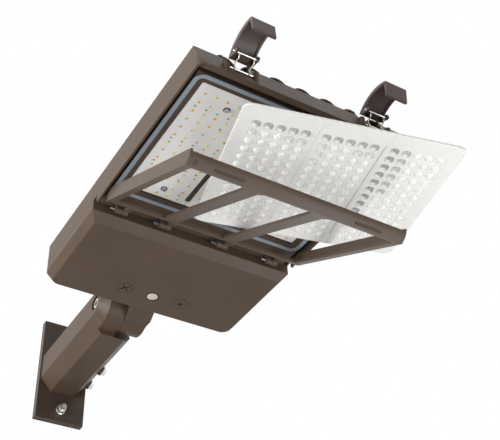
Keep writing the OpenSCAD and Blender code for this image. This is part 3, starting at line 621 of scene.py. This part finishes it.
# light boards: chips in five columns and thirteen rows on each, small parts, screw pads; the loose parts
# are given as column and row
boards = {
    "pitch": 93.0,
    "columnPitch": 16.4,
    "rowPitch": 16.86,
    "columns": 5,
    "rows": 13,
    "screwCells": [(2, 1), (2, 11)],
    "firstX": -0.8,
    "middleY": -341.4,
    "chipSide": 3.7,
    "caseHalfH": 0.22,
    "caseZ": -0.22,
    "glowShare": 0.48,
    "glowHalfH": 0.24,
    "glowZ": -0.45,
    "smallPart": (1.5, 0.8, 0.3),
    "smallPartZ": -0.28,
    "smallPartShift": -0.08,
    "smallPartRows": (1.48, 5.48, 8.48),
    "looseParts": [(3.89, 11.46), (2.94, 2.81), (2.92, 9.79)],
    "screwX": 4.9,
    "screwY": 89.0,
    "pad": [(0.0, -0.10), (4.9, -0.10), (4.9, 0.05), (0.0, 0.05)],
}


def chipPlace(k, column, row, z):
    b = boards
    return [k * b["pitch"] + b["firstX"] + (column - b["columns"] // 2) * b["columnPitch"],
            b["middleY"] + (row - b["rows"] // 2) * b["rowPitch"], z]


def makeChips():
    b = boards
    caseHalf, glowHalf = b["chipSide"] / 2, b["chipSide"] * b["glowShare"]
    case = pillow((caseHalf, caseHalf, b["caseHalfH"]), 0.2, 4, 16)
    glow = pillow((glowHalf, glowHalf, b["glowHalfH"]), 0.35, 5, 12)
    cells = [(i, j) for i in range(b["columns"]) for j in range(b["rows"]) if (i, j) not in b["screwCells"]]
    for k, side in ((-1, "left"), (0, "middle"), (1, "right")):
        cases = [chipPlace(k, i, j, b["caseZ"]) for i, j in cells]
        orange = [chipPlace(k, i, j, b["glowZ"]) for i, j in cells if i % 2 == 0]
        yellow = [chipPlace(k, i, j, b["glowZ"]) for i, j in cells if i % 2]
        node = "light_chips_" + side
        shells = [shell(stamp(case, cases)), shell(stamp(glow, orange), material=1),
                  shell(stamp(glow, yellow), material=2)]
        makePiece("chipsOn_" + side, "head", [chipCase, orangePhosphor, yellowPhosphor],
                  shells, [node])


def makeBoardParts():
    b = boards
    small = pillow(b["smallPart"], 0.35, 4, 12)
    pad = lathe(b["pad"], (0, 0, 0), steps=28)
    places = [chipPlace(k, i + b["smallPartShift"], j, b["smallPartZ"])
              for k in (-1, 0, 1) for i in range(b["columns"]) for j in b["smallPartRows"]]
    places += [chipPlace(k, i, j, b["smallPartZ"]) for k in (-1, 0, 1) for i, j in b["looseParts"]]
    pads = [[k * b["pitch"] + b["screwX"], b["middleY"] + s * b["screwY"], 0]
            for k in (-1, 0, 1) for s in (-1, 1)]
    makePiece("boardParts", "head", [partBlack, sealRubber],
              [shell(stamp(small, places)), shell(stamp(pad, pads), material=1)])


makeChips()
makeBoardParts()
print("light boards detailed")

# lens panel: a plate with rows of domes, moulded ridges and a plain clear rim; each row of painted shade
# gives the sections, columns and rows of domes that get a painted grey crescent of shade, and how strong it
# is
lens = {
    "centre": (71.0, -415.0, -50.5),
    "turns": (4.3, 0.86, -13.95),
    "halfW": 150.0,
    "halfL": 128.5,
    "corner": 12.0,
    "thick": 3.0,
    "domeR": 5.5,
    "domeH": 3.1,
    "domeCells": 10,
    "edgePull": 0.82,
    "shift": 5.6,
    "edge": 0.5,
    "ridgeSteps": (-1.7, -1.1, 1.1, 1.7),
    "ridgeHalf": 1.3,
    "ridgeH": 0.6,
    # painted shade: a faint grey crescent on every dome, and a stronger one on the domes listed below
    "faintPaintedShade": 0.08,
    "paintedShade": [
        ((-1, 0), (0, 1, 2, 3, 4), (0,), 0.7),
        ((-1, 0), (0, 3, 4), (1,), 0.4),
        ((1,), (0,), tuple(range(9)), 0.8),
        ((1,), (1,), tuple(range(6)), 0.6),
        ((0,), (0,), (1, 2, 3), 0.35),
    ],
    "crescentShift": (0.25, -0.3),
    "crescentStart": 0.5,
    "crescentGain": 4.0,
    "crescentFade": (0.4, -0.5),
    # painted shade: two grey lines along the moulded ridges, darker on the one at plus X
    "lineX": 45.4,
    "lineHalf": 0.6,
    "lineEnd": 104.0,
    "linePaintedShade": (0.35, 0.85),
    "rimFrom": 1.6,
    "rimFade": 4.0,
}


def lensTurn(points):  # a turn about X, then Y, then Z, then the move to the centre, as the solid is placed
    ax, ay, az = [math.radians(a) for a in lens["turns"]]
    rx = np.array([[1, 0, 0], [0, math.cos(ax), -math.sin(ax)], [0, math.sin(ax), math.cos(ax)]])
    ry = np.array([[math.cos(ay), 0, math.sin(ay)], [0, 1, 0], [-math.sin(ay), 0, math.cos(ay)]])
    rz = np.array([[math.cos(az), -math.sin(az), 0], [math.sin(az), math.cos(az), 0], [0, 0, 1]])
    return points @ (rz @ ry @ rx).T + np.array(lens["centre"])


# the grid's lines: even steps over each section of domes, and wider ones between sections
def lensLines(pitch, sections, count, near, far):
    step = pitch / lens["domeCells"]
    lines = [near]
    for middle in sections:
        half = count * pitch / 2
        lines += np.linspace(middle - half, middle + half, count * lens["domeCells"] + 1).tolist()
    lines.append(far)
    filled = [lines[0]]
    for a, b in zip(lines[:-1], lines[1:]):
        parts = max(1, int(math.ceil((b - a) / (step * 1.3))))
        filled += np.linspace(a, b, parts + 1)[1:].tolist()
    return np.array(filled)


# the plate's lower face as a grid, with each point's section and its offset and distance from its dome
def lensGrid(halfW, halfL, r):
    p, b = lens, boards
    across, deep, pitch = b["columnPitch"], b["rowPitch"], b["pitch"]
    xs = lensLines(across, (-pitch, 0, pitch), b["columns"], -halfW, halfW)
    ys = lensLines(deep, (p["shift"],), b["rows"], -halfL, halfL)
    ridge = [s * pitch / 2 + d for s in (-1, 1) for d in p["ridgeSteps"]]
    clear = xs[np.min(np.abs(xs[:, None] - ridge), axis=1) > 0.4]
    xs = np.unique(np.round(np.concatenate([clear, ridge]), 4))
    # round corners: each row's half width is that of the rounded rectangle
    over = np.clip(np.abs(ys) - (halfL - r), 0, r)
    width = halfW - r + np.sqrt(r * r - over * over)
    x = xs[None] / halfW * width[:, None]
    y = np.broadcast_to(ys[:, None], x.shape).copy()
    # nearest dome's middle, and the points next to its edge moved on to the edge
    lastColumn, lastRow = b["columns"] // 2, b["rows"] // 2
    k = np.clip(np.round(x / pitch), -1, 1)
    cx = k * pitch + np.clip(np.round((x - k * pitch) / across), -lastColumn, lastColumn) * across
    cy = p["shift"] + np.clip(np.round((y - p["shift"]) / deep), -lastRow, lastRow) * deep
    far = np.hypot(x - cx, y - cy)
    near = np.abs(far - p["domeR"]) < p["edgePull"]
    safe = np.maximum(far, 1e-6)
    x = np.where(near, cx + (x - cx) / safe * p["domeR"], x)
    y = np.where(near, cy + (y - cy) / safe * p["domeR"], y)
    return x, y, k, x - cx, y - cy, np.where(near, p["domeR"], far)


# the plate's rim: a small round profile carried round the edge, from the lower face to the upper
def lensRim(edge, halfW, halfL, r):
    inset, half = lens["edge"], lens["thick"] / 2
    inner = np.clip(edge[:, :2], [-(halfW - r), -(halfL - r)], [halfW - r, halfL - r])
    out = edge[:, :2] - inner
    out /= np.linalg.norm(out, axis=1)[:, None]
    profile = [(inset * 0.7, -half + inset * 0.3), (inset, -half + inset), (inset, half - inset),
               (inset * 0.7, half - inset * 0.3), (0.0, half)]
    return [np.column_stack([edge[:, :2] + out * step, np.full(len(edge), z)]) for step, z in profile]


# painted shade: a grey crescent painted on the far side of a dome, dark less its offset disc, and two
# painted grey lines along the moulded ridges
def lensPaintedShade(x, y, k, dx, dy, far):
    p, b = lens, boards
    column = np.round((x - k * b["pitch"]) / b["columnPitch"]) + b["columns"] // 2
    row = np.round((y - p["shift"]) / b["rowPitch"]) + b["rows"] // 2
    strength = np.full(x.shape, p["faintPaintedShade"])
    for sections, columns, rows, value in p["paintedShade"]:
        strength[np.isin(k, sections) & np.isin(column, columns) & np.isin(row, rows)] = value
    dx, dy = dx / p["domeR"], dy / p["domeR"]
    away = np.hypot(dx + p["crescentShift"][0], dy + p["crescentShift"][1])
    fade = 1.0 + p["crescentFade"][1] * dy + p["crescentFade"][0] * dx
    crescent = np.clip((away - p["crescentStart"]) * p["crescentGain"], 0, 1) * np.clip(fade, 0, 1)
    paintedShade = np.where(far < p["domeR"] + 0.05, crescent * strength, 0.0)
    line = np.where(np.abs(x - p["lineX"]) < p["lineHalf"], p["linePaintedShade"][1],
                    np.where(np.abs(x + p["lineX"]) < p["lineHalf"], p["linePaintedShade"][0], 0.0))
    return np.clip(np.maximum(paintedShade, line * (np.abs(y) < p["lineEnd"])), 0, 1)


def makeLens():
    p = lens
    halfW, halfL, r = [p[key] - p["edge"] for key in ("halfW", "halfL", "corner")]
    x, y, k, dx, dy, far = lensGrid(halfW, halfL, r)
    dome = p["domeH"] * np.sqrt(np.clip(1 - (far / p["domeR"]) ** 2, 0, 1))
    onRidge = np.abs(np.abs(x) - boards["pitch"] / 2) < p["ridgeHalf"]
    low = np.stack([x, y, -p["thick"] / 2 - dome - np.where(onRidge, p["ridgeH"], 0.0)], axis=-1)
    n, m = x.shape
    ring = np.concatenate([np.arange(m), np.arange(1, n) * m + m - 1,
                           (n - 1) * m + np.arange(m - 2, -1, -1), np.arange(n - 2, 0, -1) * m])
    edge = low.reshape(-1, 3)[ring].copy()
    places = np.vstack([low.reshape(-1, 3)] + lensRim(edge, halfW, halfL, r))
    faces = gridFaces(low.shape, False, False).tolist()
    count, size = n * m, len(ring)
    previous = ring
    for first in range(count, len(places), size):
        now = first + np.arange(size)
        faces += np.column_stack([previous, np.roll(previous, -1), np.roll(now, -1), now]).tolist()
        previous = now
    faces.append(previous.tolist())
    mesh = bpy.data.meshes.new("domedLens")
    mesh.from_pydata(toWorld(lensTurn(places)).tolist(), [], faces)
    marks = {name: np.zeros(len(places), dtype=np.float32) for name in ("dome", "paintedShade")}
    marks["dome"][:count] = (far < p["domeR"] + 0.1).reshape(-1)
    # painted shade, kept per point for the lens material
    marks["paintedShade"][:count] = lensPaintedShade(x, y, k, dx, dy, far).reshape(-1)
    reach = np.minimum(p["halfW"] - np.abs(places[:, 0]), p["halfL"] - np.abs(places[:, 1]))
    marks["rim"] = np.clip(p["rimFrom"] - reach / p["rimFade"], 0, 1).astype(np.float32)
    for name, values in marks.items():
        mesh.attributes.new(name, "FLOAT", "POINT").data.foreach_set("value", values)
    work = bmesh.new()
    work.from_mesh(mesh)
    bmesh.ops.recalc_face_normals(work, faces=work.faces)
    smoothEdges(work, 38)
    work.to_mesh(mesh)
    work.free()
    mesh.polygons.foreach_set("use_smooth", np.ones(len(mesh.polygons), dtype=bool))
    piece = bpy.data.objects.new("domedLens", mesh)
    scene.collection.objects.link(piece)
    dress(piece, lensMaterial())
    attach(piece, "lens")
    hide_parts("lens_panel")


def mark(tree, name):
    attribute = tree.nodes.new("ShaderNodeAttribute")
    attribute.attribute_name = name
    return attribute.outputs["Fac"]


# milky acrylic: clearer and glossier on the domes, darkened to grey where painted shade is marked, with
# fine ribs near the rim
def lensMaterial():
    mat, tree, shader, at = newMaterial("prismLens")
    fine = noise(tree, at, 260, 3)
    onDome, onRim, paintedShadeMark = mark(tree, "dome"), mark(tree, "rim"), mark(tree, "paintedShade")
    milk = ramp(tree, fine, 0.35, 0.65, (0.97, 0.96, 0.93), (1.0, 0.99, 0.97))
    # painted shade: the marked places are darkened to grey
    paintedShadeTint = ramp(tree, paintedShadeMark, 0.0, 1.0, (1.0, 1.0, 1.0), (0.10, 0.11, 0.12))
    tree.links.new(multiply(tree, milk, paintedShadeTint), shader.inputs["Base Color"])
    tree.links.new(spread(tree, onDome, 0.32, 0.06, 0.0, 1.0), shader.inputs["Roughness"])
    tree.links.new(spread(tree, onDome, 0.34, 0.24, 0.0, 1.0), shader.inputs["Transmission Weight"])
    shader.inputs["IOR"].default_value = 1.49
    wave = tree.nodes.new("ShaderNodeTexWave")
    wave.wave_type = "BANDS"
    wave.bands_direction = "DIAGONAL"
    wave.inputs["Scale"].default_value = 90
    wave.inputs["Distortion"].default_value = 0.4
    tree.links.new(at, wave.inputs["Vector"])
    ribs = tree.nodes.new("ShaderNodeMath")
    ribs.operation = "MULTIPLY"
    tree.links.new(wave.outputs["Fac"], ribs.inputs[0])
    tree.links.new(onRim, ribs.inputs[1])
    bump(tree, shader, ribs.outputs[0], 0.6, 0.0008)
    return mat


makeLens()
print("lens panel domed")

# draw latches: a channelled strap swept along its arc, bend and lip, and a bail of two bent wires
latch = {
    "x": 104.0,
    "pivot": (-494.7, 4.0),
    "turns": {"left": (42.0, 0.0), "right": (22.0, 10.9)},
    "reach": 21.0,
    "width": 34.0,
    "centre": (-26.0, -26.0),
    "outer": 52.0,
    "from": 34.0,
    "to": 108.0,
    "bend": 4.2,
    "lip": (-2.0, -24.0),
    "lipShares": (0.15, 0.4, 0.7, 0.9, 0.9005, 1.0),
    "thick": 6.5,
    "sheet": 2.6,
    "lipSheet": 2.4,
    "hook": 4.0,
    "rim": 2.2,
    "rimEase": 0.5,
    "bendFrom": 22,
    "bendRims": (6.0, 5.4, 4.7, 4.1, 3.9, 3.9, 3.9, 3.9, 3.9, 3.9, 3.9, 4.4),
    "lipRims": (5.2, 4.5, 3.6, 3.0),
    "cheekR": 4.9,
    "cheekIn": 1.5,
    "cheekHalf": 1.4,
    "tongueHalf": 7.5,
    "tongueTip": [(3.5, 3.2), (2.4, 1.0)],
    "bevel": 0.0004,
    "wireX": 11.0,
    "wireR": 0.95,
    "eyeR": 2.695,
    "eyeSpread": 0.22,
    "wireRun": [(0.0, 0.0, 2.6), (-0.9, 0.3, 6.0), (0.8, 0.9, 11.5), (2.0, 0.5, 15.5), (0.4, 0.0, 20.4)],
    "rodR": 1.55,
    "rodPast": 2.5,
}


def circlePoints(angles):
    return np.column_stack([np.cos(angles), np.sin(angles)])


def byAngle(points, centre):  # points in order of their direction from a centre
    points = np.array(points)
    return points[np.argsort([math.atan2(q[1] - centre[1], q[0] - centre[0]) for q in points])]


# an arc, a small fillet tangent to it and to the lip, then the straight lip: places and inward normals;
# the fillet's middle lies one radius in from the lip, where its distance from the arc's middle is the
# arc's radius less its own
def strapPath():
    p = latch
    middle = np.array(p["centre"])
    end = math.radians(p["to"])
    start = middle + p["outer"] * np.array([math.cos(end), math.sin(end)])
    lip = np.array(p["lip"])
    along = lip / np.linalg.norm(lip)
    inward = np.array([-along[1], along[0]])
    base = start + inward * p["bend"] - middle
    b = 2 * base @ along
    c = base @ base - (p["outer"] - p["bend"]) ** 2
    fillet = middle + base + along * (-b - math.sqrt(b * b - 4 * c)) / 2
    turnsAt = math.atan2(*(fillet - middle)[::-1])
    arc = np.linspace(math.radians(p["from"]), turnsAt, 26)
    bend = np.linspace(turnsAt, math.atan2(-inward[1], -inward[0]) % (2 * math.pi), 9)[1:]
    places = [middle + p["outer"] * circlePoints(arc), fillet + p["bend"] * circlePoints(bend)]
    first, last = places[1][-1], start + lip
    shares = np.array(p["lipShares"])
    places.append(first + shares[:, None] * (last - first))
    normals = [-circlePoints(arc), -circlePoints(bend), np.tile(inward, (len(shares), 1))]
    return np.vstack(places), np.vstack(normals)


# the strap's section: an outer face with round corners, a rim down each side, and the sheet between them;
# each point gives its X, its shift in depth, and whether it lies outside, on the rim or on the sheet
def strapGrid(places, normals):
    p = latch
    count = len(places)
    rimDepth = np.full(count, p["thick"] - 0.2)
    sheet = np.full(count, p["sheet"])
    rimDepth[p["bendFrom"]:p["bendFrom"] + len(p["bendRims"])] = p["bendRims"]
    rimDepth[-6:-2] = p["lipRims"]
    sheet[-6:-2] = p["lipSheet"]
    rimDepth[-2:] = sheet[-2:] = p["hook"]
    half, e = p["width"] / 2, p["rimEase"]
    flat = half - p["rim"]
    depthOf = {"outside": np.zeros(count), "rim": rimDepth, "sheet": np.minimum(sheet, rimDepth)}
    across = [
        (-half + e, 0, "outside"), (half - e, 0, "outside"), (half, e, "outside"), (half, -e, "rim"),
        (half - e, 0, "rim"), (flat + e, 0, "rim"), (flat, -e, "rim"), (flat - 0.6, 0, "sheet"),
        (0.6 - flat, 0, "sheet"), (-flat, -e, "rim"), (-flat - e, 0, "rim"), (e - half, 0, "rim"),
        (-half, -e, "rim"), (-half, e, "outside"),
    ]
    grid = np.zeros((count, len(across), 3))
    for column, (x, shift, kind) in enumerate(across):
        grid[:, column, 0] = x
        grid[:, column, 1:] = places + normals * (shift + depthOf[kind])[:, None]
    return grid


# the strap's ends at the rod: two round cheeks drawn out to the arc, and a tongue between them
def strapEnds(places, normals):
    p = latch
    inner = places[0] + normals[0] * (p["thick"] - 0.3)
    cheek = p["cheekR"] * circlePoints(np.radians(np.arange(215, 215 - 250, -12)))
    cheek = [tuple(q) for q in cheek if not (q[0] > 2.5 and q[1] > -3.0)]
    cheek += [tuple(inner), tuple(places[0] + normals[0] * 0.3), tuple(places[2] + normals[2] * 0.6)]
    cheek = byAngle(cheek, (6.0, 1.5))
    tongue = np.array([inner + (0.5, 0.8), places[0] + normals[0] * 2.5, *p["tongueTip"]])
    tongue = byAngle(tongue, tongue.mean(axis=0))
    shells = []
    for t in (-1, 1):
        x = t * (p["width"] / 2 - p["cheekIn"])
        shells.append(solid(plate(cheek, x - p["cheekHalf"], x + p["cheekHalf"])))
    return shells + [solid(plate(tongue, -p["tongueHalf"], p["tongueHalf"]))]


# the bail: on each side an eye round the pin and a wire bent twice, and a rod through the strap's cheeks
def bailShells():
    p = latch
    shells = []
    for t in (-1, 1):
        loop = np.linspace(-70, 250, 22) * math.pi / 180
        x = t * p["wireX"] + np.linspace(-p["eyeSpread"], p["eyeSpread"], 22)
        eye = np.column_stack([x, p["eyeR"] * circlePoints(loop)])
        run = smoothPath([(t * p["wireX"] + dx, y, z) for dx, y, z in p["wireRun"]], 30)
        shells += [solid(tube(path, p["wireR"], 10)) for path in (eye, run)]
    rod = rodProfile(p["rodR"], p["width"] / 2 + p["rodPast"])
    return shells + [shell(lathe(rod, (0, 0, p["reach"]), (1, 0, 0), 20), material=1)]


def makeLatch(side, s):
    p = latch
    bailTurn, leverTurn = p["turns"][side]
    pivot = [s * p["x"], *p["pivot"]]
    places, normals = strapPath()

    def onBail(points):
        return turnX(points, bailTurn) + pivot

    def onLever(points):
        return onBail(turnX(points, leverTurn - bailTurn) + [0, 0, p["reach"]])

    shells = [solid(strapGrid(places, normals))] + strapEnds(places, normals)
    makePiece("strap_" + side, "lever_" + side, [strapPaint],
              placed(shells, onLever), ["latch_lever_" + side], bevel=p["bevel"])
    makePiece("bentWires_" + side, "bail_" + side, [wireSteel, steel],
              placed(bailShells(), onBail), ["latch_bail_" + side])


makeLatch("left", -1)
makeLatch("right", 1)
print("latches swept")

# selector dials with a crossed slot drawn as near-black bars of painted shade, the dark seals round them
# and the vent, and the vent's cream disc
dial = {
    "x": 48.0,
    "y": -44.0,
    "face": -28.75,
    "radius": 11.9,
    "thick": 3.0,
    "edgeEase": 0.6,
    "faceStep": 0.05,
    "innerStep": 0.12,
    "innerR": 9.4,
    "slotReach": {"left": 9.4, "right": 6.298},
    "slotHalf": 0.891,
    "slotHalfH": 0.42,
    "slotDeep": 0.36,
    "slotAngles": (45, 135),
    "sealDrop": 0.3,
    "sealR": 12.0,
    "sealWide": 0.9,
    "sealEase": 0.15,
    "ventY": -41.5,
    "ventR": 9.4,
    "ventWide": 1.5,
    "ventDisc": [(0, -0.25), (5.0, -0.2), (8.4, 0), (9.1, 0.35), (9.1, 3.5), (0, 3.5)],
}


def makeDial(side, s):
    p = dial
    x, y, z, r = s * p["x"], p["y"], p["face"], p["radius"]
    profile = [(0, p["innerStep"]), (p["innerR"], p["innerStep"]), (p["innerR"] + 0.4, p["faceStep"]),
               (r - p["edgeEase"], p["faceStep"]), (r, p["edgeEase"] / 2), (r, p["thick"]), (0, p["thick"])]
    profile = [(out, z + high) for out, high in profile]
    shells = [shell(lathe(profile, (x, y, 0), steps=48))]
    # the slot is a near-black bar on the face, painted shade standing for the depth of a cut
    for angle in p["slotAngles"]:
        c, n = math.cos(math.radians(angle)), math.sin(math.radians(angle))
        bar = pillow((p["slotReach"][side], p["slotHalf"], p["slotHalfH"]), 0.25, 5, 24)
        bar = bar @ np.array([[c, n, 0], [-n, c, 0], [0, 0, 1]])
        shells.append(shell(bar + [x, y, z + p["slotDeep"]], material=1))
    makePiece("dialFace_" + side, "dial_" + side, [bronze, sealBlackSlotShade],
              shells, ["selector_dial_" + side])


def makeRings():
    p = dial
    z, e = p["face"] + p["sealDrop"], p["sealEase"]
    shells = []
    rounds = [(s * p["x"], p["y"], p["sealR"], p["sealWide"]) for s in (-1, 1)]
    rounds.append((0.0, p["ventY"], p["ventR"], p["ventWide"]))
    for x, y, r, wide in rounds:
        ring = [(r, z + 0.4), (r + e, z), (r + wide - e, z), (r + wide, z + 0.4), (r + wide, z + 1.2),
                (r, z + 1.2)]
        shells.append(shell(lathe(ring, (x, y, 0), steps=48), wrapU=True))
    disc = [(r, z + high) for r, high in p["ventDisc"]]
    makePiece("sealRings", "cover", [sealBlackSlotShade], shells, ["vent_ring", "dial_seals"])
    makePiece("ventDisc", "cover", [creamPlastic],
              [shell(lathe(disc, (0, p["ventY"], 0), steps=48))], ["vent_plug"])


makeDial("left", -1)
makeDial("right", 1)
makeRings()
print("dials cut")

# studio: a white surround for camera, gloss and glass, softer for the object's own light
studio = {
    "floorDrop": 1.35,
    "floorSize": 8.0,
    "floorForward": 0.5,
    "floorTones": ((0.80, 0.80, 0.80), (0.84, 0.84, 0.84)),
    "skyLight": 0.48,
    "aim": (0.0, -0.5, -0.03),
    "key": {"place": (-2.4, -0.5, -0.3), "size": 1.2, "power": 70},
    "under": {"place": (0.75, -1.35, -1.35), "size": 1.2, "power": 20},
}


def background(tree, strength):
    shader = tree.nodes.new("ShaderNodeBackground")
    shader.inputs["Color"].default_value = (1, 1, 1, 1)
    shader.inputs["Strength"].default_value = strength
    return shader.outputs[0]


# white where a ray comes from the camera, from gloss or through glass, else the soft sky
def makeWorld():
    world = bpy.data.worlds.new("studio")
    scene.world = world
    world.use_nodes = True
    tree = world.node_tree
    tree.nodes.clear()
    out = tree.nodes.new("ShaderNodeOutputWorld")
    soft = background(tree, studio["skyLight"])
    white = background(tree, 1.0)
    path = tree.nodes.new("ShaderNodeLightPath")
    one = tree.nodes.new("ShaderNodeMath")
    one.operation = "ADD"
    tree.links.new(path.outputs["Is Camera Ray"], one.inputs[0])
    tree.links.new(path.outputs["Is Glossy Ray"], one.inputs[1])
    two = tree.nodes.new("ShaderNodeMath")
    two.operation = "ADD"
    two.use_clamp = True
    tree.links.new(one.outputs[0], two.inputs[0])
    tree.links.new(path.outputs["Is Transmission Ray"], two.inputs[1])
    mix = tree.nodes.new("ShaderNodeMixShader")
    tree.links.new(two.outputs[0], mix.inputs[0])
    tree.links.new(soft, mix.inputs[1])
    tree.links.new(white, mix.inputs[2])
    tree.links.new(mix.outputs[0], out.inputs[0])


def makeLamp(name):
    part = studio[name]
    lamp = bpy.data.lights.new(name, "AREA")
    lamp.shape = "SQUARE"
    lamp.size = part["size"]
    lamp.energy = part["power"]
    obj = bpy.data.objects.new(name, lamp)
    scene.collection.objects.link(obj)
    aim = np.array(studio["aim"]) - np.array(part["place"])
    aim = aim / np.linalg.norm(aim)
    side = np.cross(aim, [0, 0, 1.0])
    side = side / np.linalg.norm(side)
    top = np.cross(side, aim)
    turn = Matrix(np.array([side, top, -aim]).T.tolist())
    obj.matrix_world = Matrix.Translation(part["place"]) @ turn.to_4x4()


def makeFloor():
    half = studio["floorSize"] / 2
    front, rear = -half - studio["floorForward"], half - studio["floorForward"]
    z = cadBox[0][2] - studio["floorDrop"]
    mesh = bpy.data.meshes.new("floor")
    corners = [(-half, front, z), (half, front, z), (half, rear, z), (-half, rear, z)]
    mesh.from_pydata(corners, [], [(0, 1, 2, 3)])
    floor = bpy.data.objects.new("floor", mesh)
    scene.collection.objects.link(floor)
    mat, tree, shader, at = newMaterial("paleFloor")
    tone = ramp(tree, noise(tree, at, 3, 2), 0.3, 0.7, *studio["floorTones"])
    tree.links.new(tone, shader.inputs["Base Color"])
    shader.inputs["Roughness"].default_value = 0.9
    dress(floor, mat)


makeWorld()
makeLamp("key")
makeLamp("under")
makeFloor()
print("studio set")
